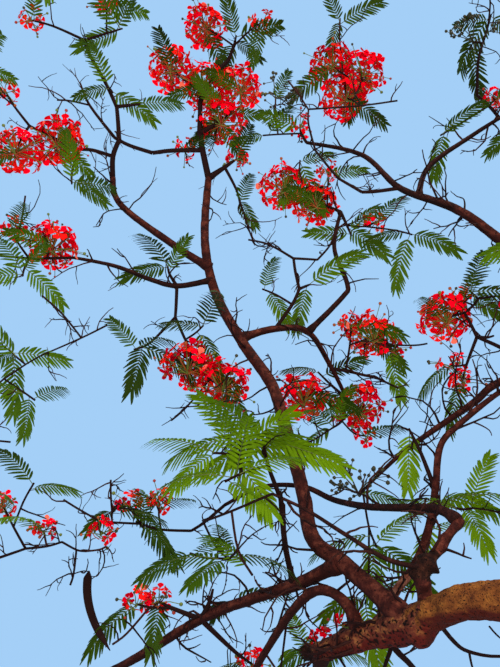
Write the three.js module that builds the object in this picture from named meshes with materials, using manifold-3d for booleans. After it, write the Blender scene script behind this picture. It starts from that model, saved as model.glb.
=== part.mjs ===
// A flame tree in bloom: a short leaning trunk, wide boughs and an open, umbrella-shaped crown.
// Millimetres, +Z up. The origin is the middle of the flat cut under the trunk.
import * as THREE from 'three';
import { mergeVertices } from 'three/addons/utils/BufferGeometryUtils.js';
import Module from 'manifold-3d';

const wasm = await Module();
wasm.setup();

// The trunk, from the cut at ground level to its fork
const FORK_HEIGHT = 2300;
const TRUNK_RADIUS = 205;
const TRUNK_SIDES = 15;
const FORK_SWELL = 55;
const FLARE = 150;
const FLARE_HEIGHT = 320;
const ROOT_LOBES = 5;
const LEAN = [-70, 30];
const TRUNK_TAPER = 28;
const CROTCH_FROM = 0.6;
const LOBE_DEPTH = 0.55;
const LOBE_TURN = 0.6;
const CLOSE = 0.62;
const CLOSE_HEIGHT = 90;

// How much a limb swells where it leaves what carries it, how it tapers, and how soon an arching bough
// flattens
const COLLAR = 0.25;
const TAPER = 0.9;
const FLATTEN = 1.7;

// Sides of a limb that is thicker at its root than a radius
const LIMB_SIDES = [[60, 8], [28, 6], [0, 5]];

// The crown's roof: its height over the trunk, and its fall for each square metre out
const ROOF_HEIGHT = 6450;
const ROOF_FALL = 62;

// Foliage: a compound leaf, a head of blossom, a seed pod and the twigs that bear them
const LEAF_LENGTH = 330;
const LEAF_WIDTH = 0.48;
const LEAF_THICK = 0.035;
const LEAF_DROOP = 0.1;
const LEAF_WIDEST = 0.5;
const BLOOM_RADIUS = 165;
const BLOOM_HEIGHT = 100;
const BLOOM_SIDES = 5;
const BLOOM_SHRINK = 0.85;
const BLOOM_NEIGHBOUR = 0.42;
const BLOOM_ROOM = 1.2;
const BLOOM_SIZES = { bloom: 1, posy: 0.6 };
const BLOOM_RIM = [0.85, 1.15];
const BLOOM_SAG = [0.1, 0.6];
const POD_LENGTH = 420;
const POD_WIDTH = 44;
const POD_THICK = 12;
const POD_CURVE = 175;
const TWIG_TIP = 5.5;
const TWIG_WIDEN = 1.25;
const TWIG_JOG = 0.09;
const TWIG_SAG = 0.16;
const TWIG_SHORT = 900;
const LEAF_FIRST = 12;
const LEAF_STEP = 42;
const LEAF_PITCH = [-0.35, 0.45];
const LEAF_TURN = [-0.25, 0.25];
const LEAF_SIZE = [0.85, 1.15];
const LEAVES = { leaf: 2 };

// How far a twig goes on the way that its stem went: the first twig of a mass, and a later one. How
// thick a branching twig is beside its stem, and how much a way's twig keeps of its thickness.
const TWIG_FOLLOW = [0.8, 0.35];
const TWIG_BRANCH = 0.75;
const TWIG_KEEP = 0.85;
const TWIG_LEAVE = 0.35;

// Clearances: between touching pieces, and round what a leaf or twig must not touch
const SEAT = 0.35;
const LEAF_CLEAR = 32;
const TWIG_CLEAR = 4;
const HEAD_CLEAR = 12;

const GOLDEN = Math.PI * (3 - Math.sqrt(5));
const UP = new THREE.Vector3(0, 0, 1);

const v = (p) => new THREE.Vector3(...p);
const mix = (a, b, t) => a.clone().lerp(b, t);
const between = ([low, high], share) => low + (high - low) * share;
const roof = (x, y) => ROOF_HEIGHT - (ROOF_FALL * (x * x + y * y)) / 1e6;
const compass = (degrees) => {
  const a = THREE.MathUtils.degToRad(degrees);
  return new THREE.Vector3(Math.cos(a), Math.sin(a), 0);
};

// A repeatable run of numbers from 0 to 1
function dice(seed) {
  let s = seed;
  return () => {
    s = (s * 16807) % 2147483647;
    return s / 2147483647;
  };
}

// A bough that rises from a point and flattens as it spreads, with a slight sway
function arch(start, heading, reach, rise, sway = 8) {
  const steps = 5;
  return Array.from({ length: steps + 1 }, (_, i) => {
    const t = i / steps;
    const out = compass(heading + sway * Math.sin(2 * Math.PI * t)).multiplyScalar(reach * t);
    const up = rise * (1 - (1 - t) ** FLATTEN);
    return [start[0] + out.x, start[1] + out.y, start[2] + up];
  });
}

// The limbs: what carries each, the joints of its route, and its radius at the root and the tip.
// The limbs to the west are placed by joints, and the others are arches from the fork.
const limbs = {
  west_bough: {
    on: 'trunk',
    route: [[0, 0, 2080], [-700, 230, 2610], [-1460, 550, 2920], [-1660, 730, 2980],
      [-1820, 940, 3040], [-2070, 1230, 3120]],
    radii: [104, 42],
    taper: 1.05,
  },
  high_bough: {
    on: 'trunk',
    route: [[0, 0, 2180], [-210, 110, 3000], [-480, 205, 3760], [-790, 250, 4420],
      [-1010, 140, 4740], [-1210, 50, 4920], [-1460, 40, 5170], [-1640, -40, 5470],
      [-1950, -30, 5710]],
    radii: [84, 10],
    taper: 1.3,
  },
  main_limb: {
    on: 'west_bough',
    route: [[-1730, 800, 3010], [-1910, 880, 3300], [-2030, 910, 3460], [-2060, 890, 3720],
      [-2130, 820, 4080], [-2190, 750, 4310], [-2340, 690, 4590], [-2500, 570, 4920],
      [-2570, 390, 5230], [-2560, 170, 5630]],
    radii: [35, 21],
    taper: 0.6,
  },
  knob_limb: {
    on: 'west_bough',
    route: [[-1660, 740, 2980], [-1670, 650, 3110], [-1590, 620, 3190], [-1500, 580, 3290]],
    radii: [22, 17],
  },
  pale_limb: {
    on: 'west_bough',
    route: [[-1830, 950, 3045], [-1700, 1000, 3260], [-1600, 1020, 3390], [-1520, 960, 3520],
      [-1470, 840, 3670], [-1440, 700, 3800], [-1350, 630, 3870], [-1150, 540, 3990],
      [-1000, 480, 4030]],
    radii: [21, 11],
  },
  arched_limb: {
    on: 'west_bough',
    route: [[-1870, 990, 3050], [-1910, 950, 3160], [-1980, 950, 3230], [-2050, 1010, 3260],
      [-2140, 1160, 3250], [-2270, 1460, 3200], [-2350, 1850, 3260], [-2400, 2300, 3420]],
    radii: [24, 9],
    taper: 1.3,
  },
  northwest_limb: {
    on: 'west_bough',
    route: [[-2010, 1160, 3100], [-1990, 1480, 3130], [-1850, 1900, 3260], [-1750, 2350, 3400]],
    radii: [30, 16],
  },
  upper_left_limb: {
    on: 'main_limb',
    route: [[-2532, 490, 5060], [-2740, 400, 5160], [-3080, 240, 5390], [-3140, 130, 5540]],
    radii: [23, 17],
  },
  left_limb: {
    on: 'main_limb',
    route: [[-2516, 529, 4990], [-2720, 540, 4940], [-2880, 505, 4960], [-3090, 470, 5050],
      [-3330, 450, 5110]],
    radii: [17, 9],
  },
  centre_limb: {
    on: 'main_limb',
    route: [[-2350, 680, 4620], [-2160, 680, 4710], [-1970, 730, 4750], [-1830, 930, 4670],
      [-1740, 1100, 4610]],
    radii: [22, 10],
  },
  centre_high_limb: {
    on: 'centre_limb',
    route: [[-1970, 730, 4750], [-1760, 620, 4950], [-1730, 570, 5010], [-1790, 460, 5250],
      [-1740, 320, 5460]],
    radii: [17, 11],
  },
  low_limb: {
    on: 'main_limb',
    route: [[-1930, 890, 3320], [-2090, 1070, 3350], [-2300, 1260, 3400], [-2530, 1430, 3410],
      [-2940, 1800, 3390], [-3430, 2230, 3420]],
    radii: [29, 15],
  },
  upright_limb: {
    on: 'low_limb',
    route: [[-2110, 1090, 3355], [-2150, 920, 3430], [-2170, 740, 3530]],
    radii: [14, 11],
  },
  knob_cross_limb: {
    on: 'knob_limb',
    route: [[-1510, 580, 3280], [-1560, 620, 3370], [-1670, 750, 3490], [-1780, 870, 3600],
      [-1900, 1020, 3770], [-2040, 1070, 3900], [-2240, 1150, 3970], [-2430, 1240, 3930]],
    radii: [19, 9],
  },
  front_limb: {
    on: 'knob_limb',
    route: [[-1650, 640, 3110], [-1800, 600, 3120], [-1940, 610, 3240], [-2070, 630, 3370],
      [-2210, 620, 3450]],
    radii: [10, 6],
  },
  right_limb: {
    on: 'high_bough',
    route: [[-480, 205, 3760], [-800, 420, 4130], [-1080, 640, 4180], [-1200, 740, 4140],
      [-1500, 950, 4050], [-1660, 1070, 3970]],
    radii: [31, 9],
  },
  high_right_limb: {
    on: 'high_bough',
    route: [[-1375, 45, 5075], [-1270, -20, 5340], [-1000, -130, 5530], [-810, -200, 5650]],
    radii: [17, 11],
  },
  south_bough: { on: 'trunk', route: arch([0, 0, 2100], 258, 2500, 2700), radii: [86, 24] },
  southeast_bough: { on: 'trunk', route: arch([0, 0, 2060], 312, 2700, 2650), radii: [92, 24] },
  east_bough: { on: 'trunk', route: arch([0, 0, 2120], 6, 2700, 2750), radii: [88, 24] },
  northeast_bough: { on: 'trunk', route: arch([0, 0, 2050], 62, 2600, 2600), radii: [90, 24] },
};

// Side limbs leave the arches at a joint and spread to either hand
for (const [name, on, joint, heading, reach, rise] of [
  ['southwest_limb', 'south_bough', 2, 212, 2100, 1200],
  ['east_low_limb', 'southeast_bough', 2, 343, 2050, 1050],
  ['east_high_limb', 'east_bough', 2, 37, 2100, 1050],
  ['north_limb', 'northeast_bough', 2, 86, 1900, 950],
]) {
  limbs[name] = { on, route: arch(limbs[on].route[joint], heading, reach, rise, -6), radii: [46, 20] };
}

// The masses of foliage: the limb that each grows from, at its tip or at a joint, and its heads.
// A head is a tip with blossom, a posy of less blossom, leaves, buds, a pod, or bare dead wood, and a
// way is a point that the first and thicker twigs pass, in the order given.
const masses = {
  crown_top_west: {
    on: 'main_limb',
    way: [[-2620, -40, 5850], [-2910, 40, 5720], [-2620, -190, 6030], [-3140, -50, 5740],
      [-2440, -390, 6240]],
    bloom: [[-2590, -560, 6380], [-2810, -350, 6170], [-2590, -270, 6060], [-2360, -250, 6050],
      [-2480, -100, 5890]],
    posy: [[-2220, -610, 6300], [-2710, 40, 5780], [-2380, 70, 5700]],
    leaf: [[-2390, -520, 6350], [-2420, -140, 5970], [-2360, 270, 5440]],
    bare: [[-3480, -260, 5810], [-3350, -330, 5920], [-2270, 420, 5210]],
  },
  upper_left: {
    on: 'upper_left_limb',
    way: [[-3100, -60, 5670], [-3330, -30, 5590], [-3120, -220, 5810], [-3610, -170, 5600],
      [-3220, -400, 5910], [-3300, -570, 5970]],
    bloom: [[-3650, -80, 5440], [-3430, -100, 5520]],
    posy: [[-3570, -700, 5870], [-3160, -770, 6040], [-3720, -360, 5630]],
    leaf: [[-3060, -640, 5950], [-3130, -310, 5790], [-2970, -240, 5800], [-3350, 100, 5370],
      [-3890, -540, 5640]],
  },
  left: {
    on: 'left_limb',
    way: [[-3570, 410, 5030], [-3930, 310, 4990]],
    bloom: [[-3440, 380, 5120], [-4210, 230, 4980]],
    posy: [[-3650, 250, 5090]],
    leaf: [[-3590, 470, 4930], [-3990, 460, 4760], [-4070, 30, 5120]],
    bare: [[-3610, 140, 5290]],
  },
  under_left: {
    on: 'left_limb', joint: 1,
    way: [[-2730, 690, 4840], [-2630, 790, 4640]],
    bloom: [[-2640, 830, 4560], [-2450, 850, 4420]],
    leaf: [[-2960, 810, 4690], [-2780, 470, 5050], [-2560, 670, 4730]],
    bare: [[-2730, 1040, 4350]],
  },
  centre: {
    on: 'centre_limb',
    bloom: [[-1990, 1100, 4610], [-1670, 1150, 4580]],
    posy: [[-1630, 1270, 4470]],
    leaf: [[-1900, 1010, 4740], [-1830, 1210, 4470]],
    bare: [[-2040, 1260, 4380]],
  },
  centre_high: {
    on: 'centre_high_limb',
    bloom: [[-2090, 220, 5590], [-1890, 290, 5520]],
    posy: [[-1810, 130, 5630], [-1530, 350, 5380]],
    leaf: [[-1680, 420, 5330], [-1330, 370, 5250], [-1990, 60, 5650]],
  },
  centre_cross: {
    on: 'centre_limb', joint: 1,
    way: [[-2020, 530, 4890], [-2050, 410, 5030], [-1910, 430, 5050]],
    leaf: [[-1950, 560, 4990], [-2230, 530, 4890]],
    bare: [[-1810, 350, 5160], [-2310, 300, 5050]],
  },
  right_ball: {
    on: 'centre_limb', joint: 3,
    way: [[-1710, 950, 4660], [-1580, 980, 4660]],
    bloom: [[-1590, 810, 4820]],
    posy: [[-1710, 760, 4870], [-1470, 860, 4760]],
    bare: [[-1440, 1050, 4640], [-1270, 840, 4790]],
  },
  right_bloom: {
    on: 'pale_limb',
    way: [[-1110, 580, 4490], [-1140, 540, 4660], [-1040, 520, 4770], [-870, 540, 4820]],
    bloom: [[-1230, 600, 4700], [-750, 530, 4770]],
    posy: [[-1250, 700, 4400], [-1180, 790, 4370], [-1130, 530, 4770]],
    leaf: [[-1070, 510, 4840]],
    bare: [[-990, 630, 4570]],
  },
  right_leaves: {
    on: 'pale_limb', joint: 4,
    leaf: [[-1440, 920, 3640], [-1510, 980, 3540], [-1310, 880, 3600]],
    bare: [[-1560, 700, 3920]],
  },
  right_twigs: {
    on: 'right_limb',
    buds: [[-1780, 1020, 3810]],
    leaf: [[-1710, 1150, 3600], [-2050, 1830, 3490], [-1730, 1550, 3570]],
    posy: [[-1940, 1740, 3490], [-1810, 1630, 3510]],
  },
  low_bloom: {
    on: 'low_limb', joint: 3,
    posy: [[-2830, 1370, 3450], [-2730, 1380, 3470], [-2290, 1690, 3340]],
    leaf: [[-2370, 1400, 3490]],
    bare: [[-2940, 1520, 3340], [-2470, 1270, 3460]],
  },
  low_left: {
    on: 'low_limb',
    bloom: [[-4120, 2160, 3750], [-3770, 3050, 3490]],
    leaf: [[-4190, 2740, 3460], [-4490, 1980, 3750], [-4270, 1660, 3910], [-3990, 3360, 3400]],
  },
  left_edge: {
    on: 'low_limb', joint: 4,
    way: [[-3260, 1930, 3300], [-3730, 1770, 3530], [-3730, 1500, 3750], [-3450, 1420, 3800],
      [-3260, 1380, 3810], [-3130, 1390, 3760], [-3860, 1160, 3960], [-3730, 830, 4190],
      [-3560, 710, 4300], [-3390, 650, 4420]],
    posy: [[-3570, 1270, 3940], [-3350, 1330, 3840]],
    leaf: [[-3410, 820, 4260], [-3550, 640, 4440], [-3400, 1130, 3980]],
    pod: [[-3110, 1460, 3690]],
    bare: [[-3390, 400, 4610], [-3060, 560, 4570], [-3520, 960, 4100], [-3190, 1470, 3620],
      [-3020, 1350, 3760]],
  },
  near_tuft: {
    on: 'upright_limb',
    leaf: [[-2340, 450, 3600], [-2450, 470, 3530], [-2250, 480, 3640], [-2400, 560, 3460]],
  },
  near_left: {
    on: 'front_limb',
    leaf: [[-2570, 1090, 3520], [-2420, 1030, 3440], [-2290, 1040, 3370]],
    bare: [[-2490, 810, 3470]],
  },
  low_left_bloom: {
    on: 'knob_cross_limb',
    way: [[-2600, 1330, 3840], [-2860, 1300, 3860], [-3070, 1290, 3870]],
    posy: [[-2760, 1210, 3920], [-2910, 1210, 3900], [-3050, 1300, 3800]],
    leaf: [[-2840, 1280, 3820], [-2980, 1190, 3880]],
    bare: [[-3250, 1200, 3930], [-3010, 1120, 3990], [-2390, 1370, 3690]],
  },
  big_bloom: {
    on: 'high_bough', joint: 6,
    way: [[-1660, 90, 5230], [-1790, 40, 5310], [-1920, -80, 5440], [-1950, -240, 5690]],
    bloom: [[-1770, -370, 6190], [-1580, -340, 6110], [-1710, -240, 5920]],
    leaf: [[-1710, -610, 6420]],
    bare: [[-2070, -370, 5830], [-1430, -300, 5660]],
  },
  high_left: {
    on: 'high_bough',
    posy: [[-1990, -110, 5770]],
    leaf: [[-2220, -50, 5780]],
    buds: [[-2140, -240, 5920]],
  },
  high_right: {
    on: 'high_right_limb',
    way: [[-930, -300, 5770], [-870, -540, 6030]],
    posy: [[-830, -300, 5710]],
    leaf: [[-1190, -150, 5490], [-790, -670, 6220], [-610, -220, 5540]],
    buds: [[-940, -550, 6010]],
    bare: [[-800, -780, 6300]],
  },
  northwest: {
    on: 'northwest_limb',
    bloom: [[-1750, 3000, 3850], [-900, 3300, 3900], [-1350, 3950, 3850]],
    leaf: [[-1300, 2850, 3620], [-600, 2650, 3800], [-500, 3950, 3950], [-1500, 4350, 3600]],
  },
  arched: {
    on: 'arched_limb',
    bloom: [[-2450, 2750, 3650], [-2750, 3350, 3750]],
    leaf: [[-2300, 3150, 3500], [-2900, 2700, 3500], [-2650, 4000, 3500]],
  },
};

// Masses whose heads are dealt out under the roof: the limb, the joint, the heading and distance of
// the middle, the plan radius, the number of heads and the seed
const ROOF_GAP = 90;
const ROOF_DEPTH = 380;
const BLOOM_SHARE = 0.52;
for (const [name, on, joint, heading, out, radius, count, seed] of [
  ['top', 'high_bough', 3, 300, 350, 900, 5, 3],
  ['southwest', 'southwest_limb', 5, 226, 3500, 1250, 6, 5],
  ['south', 'south_bough', 5, 262, 3700, 1200, 6, 7],
  ['southeast', 'southeast_bough', 5, 304, 3800, 1200, 6, 11],
  ['east_low', 'east_low_limb', 5, 338, 3900, 1150, 6, 13],
  ['east', 'east_bough', 5, 8, 3800, 1150, 6, 17],
  ['east_high', 'east_high_limb', 5, 36, 3900, 1050, 6, 19],
  ['northeast', 'northeast_bough', 5, 58, 3750, 950, 5, 23],
  ['north', 'north_limb', 5, 79, 3850, 900, 5, 41],
  ['inner_south', 'south_bough', 3, 255, 1750, 850, 5, 29],
  ['inner_east', 'southeast_bough', 3, 330, 1900, 950, 5, 31],
  ['inner_north', 'northeast_bough', 3, 62, 1900, 950, 5, 37],
]) {
  const roll = dice(seed * 7919);
  const middle = compass(heading).multiplyScalar(out);
  const mass = { on, joint, bloom: [], leaf: [] };
  for (let k = 0; k < count; k++) {
    const ring = radius * Math.sqrt((k + 0.5) / count);
    const turn = k * GOLDEN + seed;
    const x = middle.x + ring * Math.cos(turn);
    const y = middle.y + ring * Math.sin(turn);
    const z = roof(x, y) - ROOF_GAP - ROOF_DEPTH * roll();
    mass[roll() < BLOOM_SHARE ? 'bloom' : 'leaf'].push([x, y, z]);
  }
  masses[name] = mass;
}

// A curve through the joints, a few points for each span
function bend(joints, stepsPerSpan) {
  const p = joints.map(v);
  const line = [];
  for (let i = 0; i < p.length - 1; i++) {
    const before = p[Math.max(i - 1, 0)];
    const after = p[Math.min(i + 2, p.length - 1)];
    const leaving = p[i + 1].clone().sub(before).multiplyScalar(0.5);
    const arriving = after.clone().sub(p[i]).multiplyScalar(0.5);
    for (let k = 0; k < stepsPerSpan; k++) {
      const t = k / stepsPerSpan;
      line.push(p[i].clone().multiplyScalar((1 + 2 * t) * (1 - t) ** 2)
        .addScaledVector(leaving, t * (1 - t) ** 2)
        .addScaledVector(p[i + 1], t * t * (3 - 2 * t))
        .addScaledVector(arriving, t * t * (t - 1)));
    }
  }
  line.push(p[p.length - 1]);
  return line;
}

// A closed mesh as a solid: positions of shared points, and triangles that face out
function solid(points, triangles) {
  const geometry = new THREE.BufferGeometry();
  const places = points.flatMap((p) => p.toArray());
  geometry.setAttribute('position', new THREE.Float32BufferAttribute(places, 3));
  geometry.setIndex(triangles.flat());
  const merged = mergeVertices(geometry, 1e-3);
  return new wasm.Manifold(new wasm.Mesh({
    numProp: 3,
    vertProperties: merged.attributes.position.array,
    triVerts: new Uint32Array(merged.index.array),
  }));
}

// Rings of points joined into a tube that is closed at both ends
function skin(rings) {
  const sides = rings[0].length;
  const last = rings.length - 1;
  const triangles = [];
  for (let i = 0; i < last; i++) {
    for (let k = 0; k < sides; k++) {
      const a = i * sides + k;
      const b = i * sides + ((k + 1) % sides);
      triangles.push([a, b, b + sides], [a, b + sides, a + sides]);
    }
  }
  for (let k = 1; k < sides - 1; k++) {
    triangles.push([0, k + 1, k], [last * sides, last * sides + k, last * sides + k + 1]);
  }
  return solid(rings.flat(), triangles);
}

// A round tube along a line, with a radius for each point of the line and a frame that doesn't twist
function tube(line, radii, sides) {
  let across = new THREE.Vector3(0.31, 0.85, 0.42);
  const rings = line.map((p, i) => {
    const [before, after] = [line[Math.max(i - 1, 0)], line[Math.min(i + 1, line.length - 1)]];
    const along = after.clone().sub(before).normalize();
    across = across.clone().addScaledVector(along, -across.dot(along)).normalize();
    const over = along.clone().cross(across);
    return Array.from({ length: sides }, (_, k) => {
      const a = (2 * Math.PI * k) / sides;
      return p.clone()
        .addScaledVector(across, radii[i] * Math.cos(a))
        .addScaledVector(over, radii[i] * Math.sin(a));
    });
  });
  return skin(rings);
}

// The trunk: lobed where the roots spread, leaning, and swollen under its fork
function trunkSolid(extra = 0) {
  const heights = [0, 90, 200, 380, 700, 1150, 1650, 2050, FORK_HEIGHT, FORK_HEIGHT + CLOSE_HEIGHT];
  const rings = heights.map((z) => {
    const share = z / FORK_HEIGHT;
    const flare = FLARE * Math.exp(-z / FLARE_HEIGHT);
    const crotch = FORK_SWELL * Math.max(0, share - CROTCH_FROM) * 2;
    const close = z > FORK_HEIGHT ? CLOSE : 1;
    const rise = z > 0 ? z + extra : 0;
    return Array.from({ length: TRUNK_SIDES }, (_, k) => {
      const a = (2 * Math.PI * k) / TRUNK_SIDES;
      const lobe = 1 + LOBE_DEPTH * Math.cos(ROOT_LOBES * a + LOBE_TURN);
      const r = close * (TRUNK_RADIUS - TRUNK_TAPER * share + crotch + flare * lobe) + extra;
      const lean = new THREE.Vector3(LEAN[0], LEAN[1], 0).multiplyScalar(share);
      return lean.add(new THREE.Vector3(r * Math.cos(a), r * Math.sin(a), rise));
    });
  });
  return skin(rings);
}

// Radii along a limb: a collar at the root, then a taper to the tip
function limbRadii(limb, line, extra) {
  const [root, tip] = limb.radii;
  const lengths = [0];
  for (let i = 1; i < line.length; i++) lengths.push(lengths[i - 1] + line[i].distanceTo(line[i - 1]));
  const whole = lengths[lengths.length - 1];
  return lengths.map((s) => {
    const taper = tip + (root - tip) * (1 - s / whole) ** (limb.taper ?? TAPER);
    return taper * (1 + COLLAR * Math.exp(-s / (2 * root))) + extra;
  });
}

const limbLine = (limb) => bend(limb.route, limb.route.length > 4 ? 1 : 2);

function limbSolid(limb, extra = 0) {
  const line = limbLine(limb);
  const ends = [line[0], line[line.length - 1]];
  ends[1].addScaledVector(ends[1].clone().sub(line[line.length - 2]).normalize(), extra);
  const [, sides] = LIMB_SIDES.find(([radius]) => limb.radii[0] > radius);
  return tube(line, limbRadii(limb, line, extra), sides);
}

// The largest body of a solid, so that no loose scrap is kept
function whole(made) {
  return made.decompose().sort((a, b) => b.volume() - a.volume())[0];
}

const near = (a, b) => {
  const [p, q] = [a.boundingBox(), b.boundingBox()];
  return [0, 1, 2].every((i) => p.min[i] < q.max[i] && q.min[i] < p.max[i]);
};

// Distance between two straight stretches
function apart(a, b, c, d) {
  const [u, w, r] = [b.clone().sub(a), d.clone().sub(c), a.clone().sub(c)];
  const [uu, ww, uw, ur, wr] = [u.dot(u), w.dot(w), u.dot(w), u.dot(r), w.dot(r)];
  const clamp = (x) => Math.min(1, Math.max(0, x));
  const det = uu * ww - uw * uw;
  let s = det > 1e-9 ? clamp((uw * wr - ur * ww) / det) : 0;
  const t = clamp((uw * s + wr) / ww);
  s = clamp((uw * t - ur) / uu);
  return a.clone().addScaledVector(u, s).distanceTo(c.clone().addScaledVector(w, t));
}

// Stretches of limbs and twigs that foliage keeps clear of
const obstacles = [];
function addObstacle(owner, line, radii) {
  for (let i = 1; i < line.length; i++) {
    obstacles.push({ owner, a: line[i - 1], b: line[i], radius: Math.max(radii[i - 1], radii[i]) });
  }
}
const blocked = (own, a, b, room) => obstacles.some(
  (o) => !own.includes(o.owner) && apart(a, b, o.a, o.b) < o.radius + room,
);

// Twigs of a mass: each head is reached by a bowed twig from the nearest point that has grown
function growTwigs(name, mass, seed) {
  const limb = limbs[mass.on];
  const joint = mass.joint ?? limb.route.length - 1;
  const atTip = joint === limb.route.length - 1;
  const root = v(limb.route[joint]);
  const rank = ({ kind, at }) => (kind === 'way' ? 0 : at.distanceTo(root));
  const heads = ['way', 'bloom', 'posy', 'leaf', 'buds', 'pod', 'bare']
    .flatMap((kind) => (mass[kind] ?? []).map((p) => ({ kind, at: v(p) })))
    .sort((a, b) => rank(a) - rank(b));
  const along = atTip ? root.clone().sub(v(limb.route[joint - 1])).normalize() : null;
  if (atTip) root.addScaledVector(along, 2 * SEAT);
  const stem = atTip ? limb.radii[1] : Math.min(14, 0.5 * limb.radii[1] + 6);
  const grown = [{ at: root, along, radius: stem, goesOn: true }];
  const twigs = [];
  heads.forEach((head, index) => {
    const roll = dice(seed * 1009 + index * 31 + 1);
    const from = grown.reduce((a, b) => (b.at.distanceTo(head.at) < a.at.distanceTo(head.at) ? b : a));
    const length = from.at.distanceTo(head.at);
    const towards = head.at.clone().sub(from.at).normalize();
    const follow = TWIG_FOLLOW[twigs.length ? 1 : 0];
    const leave = from.along ? mix(towards, from.along, follow) : towards;
    const c1 = from.at.clone().addScaledVector(leave, TWIG_LEAVE * length);
    const sag = (head.kind === 'pod' ? 2 : -1) * TWIG_SAG * length;
    const c2 = head.at.clone().addScaledVector(UP, sag);
    const spans = length < TWIG_SHORT ? 2 : 3;
    const line = Array.from({ length: spans + 1 }, (_, i) => {
      const t = i / spans;
      const [a, b, c] = [mix(from.at, c1, t), mix(c1, c2, t), mix(c2, head.at, t)];
      const jog = i > 0 && i < spans ? TWIG_JOG * length : 0;
      return mix(mix(a, b, t), mix(b, c, t), t)
        .add(new THREE.Vector3(jog * (roll() - 0.5), jog * (roll() - 0.5), jog * (roll() - 0.5)));
    });
    const start = from.goesOn ? from.radius : Math.max(TWIG_TIP, TWIG_BRANCH * from.radius);
    const end = head.kind === 'way' ? TWIG_KEEP * start : TWIG_TIP;
    const radii = line.map((_, i) => start + ((end - start) * i) / spans);
    const own = [name, mass.on];
    if (line.slice(1).some((p, i) => blocked(own, line[i], p, radii[i] + TWIG_CLEAR))) return;
    for (let i = 1; i < spans; i++) {
      const onward = line[i + 1].clone().sub(line[i - 1]).normalize();
      grown.push({ at: line[i], along: onward, radius: radii[i] });
    }
    if (head.kind === 'way') {
      const onward = line[spans].clone().sub(line[spans - 1]).normalize();
      grown.push({ at: line[spans], along: onward, radius: end, goesOn: true });
    }
    addObstacle(name, line, radii);
    twigs.push({ line, radii, head });
  });
  return twigs;
}

// A leaf of a head: a folded kite, with its midrib under the line between its two sides
function leafBlade(root, azimuth, pitch, roll, length) {
  const level = Math.cos(pitch);
  const out = new THREE.Vector3(Math.cos(azimuth) * level, Math.sin(azimuth) * level, Math.sin(pitch));
  const side = UP.clone().cross(out).normalize().applyAxisAngle(out, roll);
  const middle = root.clone().addScaledVector(out, LEAF_WIDEST * length)
    .addScaledVector(out.clone().cross(side), LEAF_THICK * length);
  const half = (LEAF_WIDTH * length) / 2;
  return {
    root: root.clone().addScaledVector(out, -4),
    tip: root.clone().addScaledVector(out, length).addScaledVector(UP, -LEAF_DROOP * length),
    left: middle.clone().addScaledVector(side, half),
    right: middle.clone().addScaledVector(side, -half),
  };
}

function leafSolid({ root, tip, left, right }) {
  const faces = [[0, 1, 2], [0, 3, 1], [0, 2, 3], [1, 3, 2]];
  const made = solid([root, tip, left, right], faces);
  return made.volume() > 0 ? made : solid([root, tip, right, left], faces);
}

// The leaves that a twig bears near its tip. One that strays nearer to another mass's head, or that
// comes close to a limb or to another mass's twig, is left out.
function leavesOf(name, twig, seed, rivals) {
  const roll = dice(seed);
  const [before, end] = twig.line.slice(-2);
  const back = before.clone().sub(end).normalize();
  const blades = [];
  for (let k = 0; k < (LEAVES[twig.head.kind] ?? 0); k++) {
    const root = end.clone().addScaledVector(back, LEAF_FIRST + LEAF_STEP * k);
    const [pitch, turn, size] = [LEAF_PITCH, LEAF_TURN, LEAF_SIZE].map((range) => between(range, roll()));
    const blade = leafBlade(root, k * GOLDEN + seed, pitch, turn, LEAF_LENGTH * size);
    const rim = [blade.root, blade.left, blade.tip, blade.right];
    const edges = rim.map((p, i) => [p, rim[(i + 1) % 4]]);
    edges.push([blade.root, blade.tip], [blade.left, blade.right]);
    const strays = rim.slice(1).some((p) => rivals.some(
      (h) => p.distanceTo(h) < p.distanceTo(twig.head.at) + HEAD_CLEAR,
    ));
    if (!strays && !edges.some(([a, b]) => blocked([name], a, b, LEAF_CLEAR))) blades.push(blade);
  }
  return blades;
}

// A head of blossom: a shallow, uneven dome of flowers over its twig's tip. It shrinks until it is
// clear of the other masses' heads and twigs.
function bloomSolid(name, kind, at, seed, rivals) {
  const roll = dice(seed);
  const above = at.clone().addScaledVector(UP, 1);
  let radius = BLOOM_SIZES[kind] * BLOOM_RADIUS;
  radius = Math.min(radius, ...rivals.map((h) => BLOOM_NEIGHBOUR * h.distanceTo(at)));
  while (blocked([name], at, above, BLOOM_ROOM * radius)) radius *= BLOOM_SHRINK;
  const height = (BLOOM_HEIGHT * radius) / BLOOM_RADIUS;
  const points = [at.clone().addScaledVector(UP, -height), at.clone().addScaledVector(UP, height)];
  const faces = [];
  for (let k = 0; k < BLOOM_SIDES; k++) {
    const size = radius * between(BLOOM_RIM, roll());
    points.push(at.clone().addScaledVector(compass((360 * k) / BLOOM_SIDES), size)
      .addScaledVector(UP, height * between(BLOOM_SAG, roll())));
    const [a, b] = [2 + k, 2 + ((k + 1) % BLOOM_SIDES)];
    faces.push([0, b, a], [1, a, b]);
  }
  return solid(points, faces);
}

// A flat, woody, slightly curved pod that hangs from its twig's tip
function podSolid(at) {
  const shape = [[0, 0.16], [0.08, 0.75], [0.3, 1], [0.6, 0.95], [0.9, 0.7], [1, 0.12]];
  const rings = shape.map(([t, width]) => [0, 1, 2, 3, 4, 5].map((k) => {
    const a = (Math.PI * k) / 3;
    const across = POD_CURVE * t * t + (Math.cos(a) * width * POD_WIDTH) / 2;
    const drop = POD_LENGTH * t - 6;
    return at.clone().add(new THREE.Vector3(across, (Math.sin(a) * POD_THICK) / 2, -drop));
  }));
  return skin(rings.reverse());
}

const barkFinish = { color: 0x5b3a26, roughness: 0.9, metalness: 0 };
const foliageFinish = { color: 0x4f7a1f, roughness: 0.65, metalness: 0 };

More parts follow.
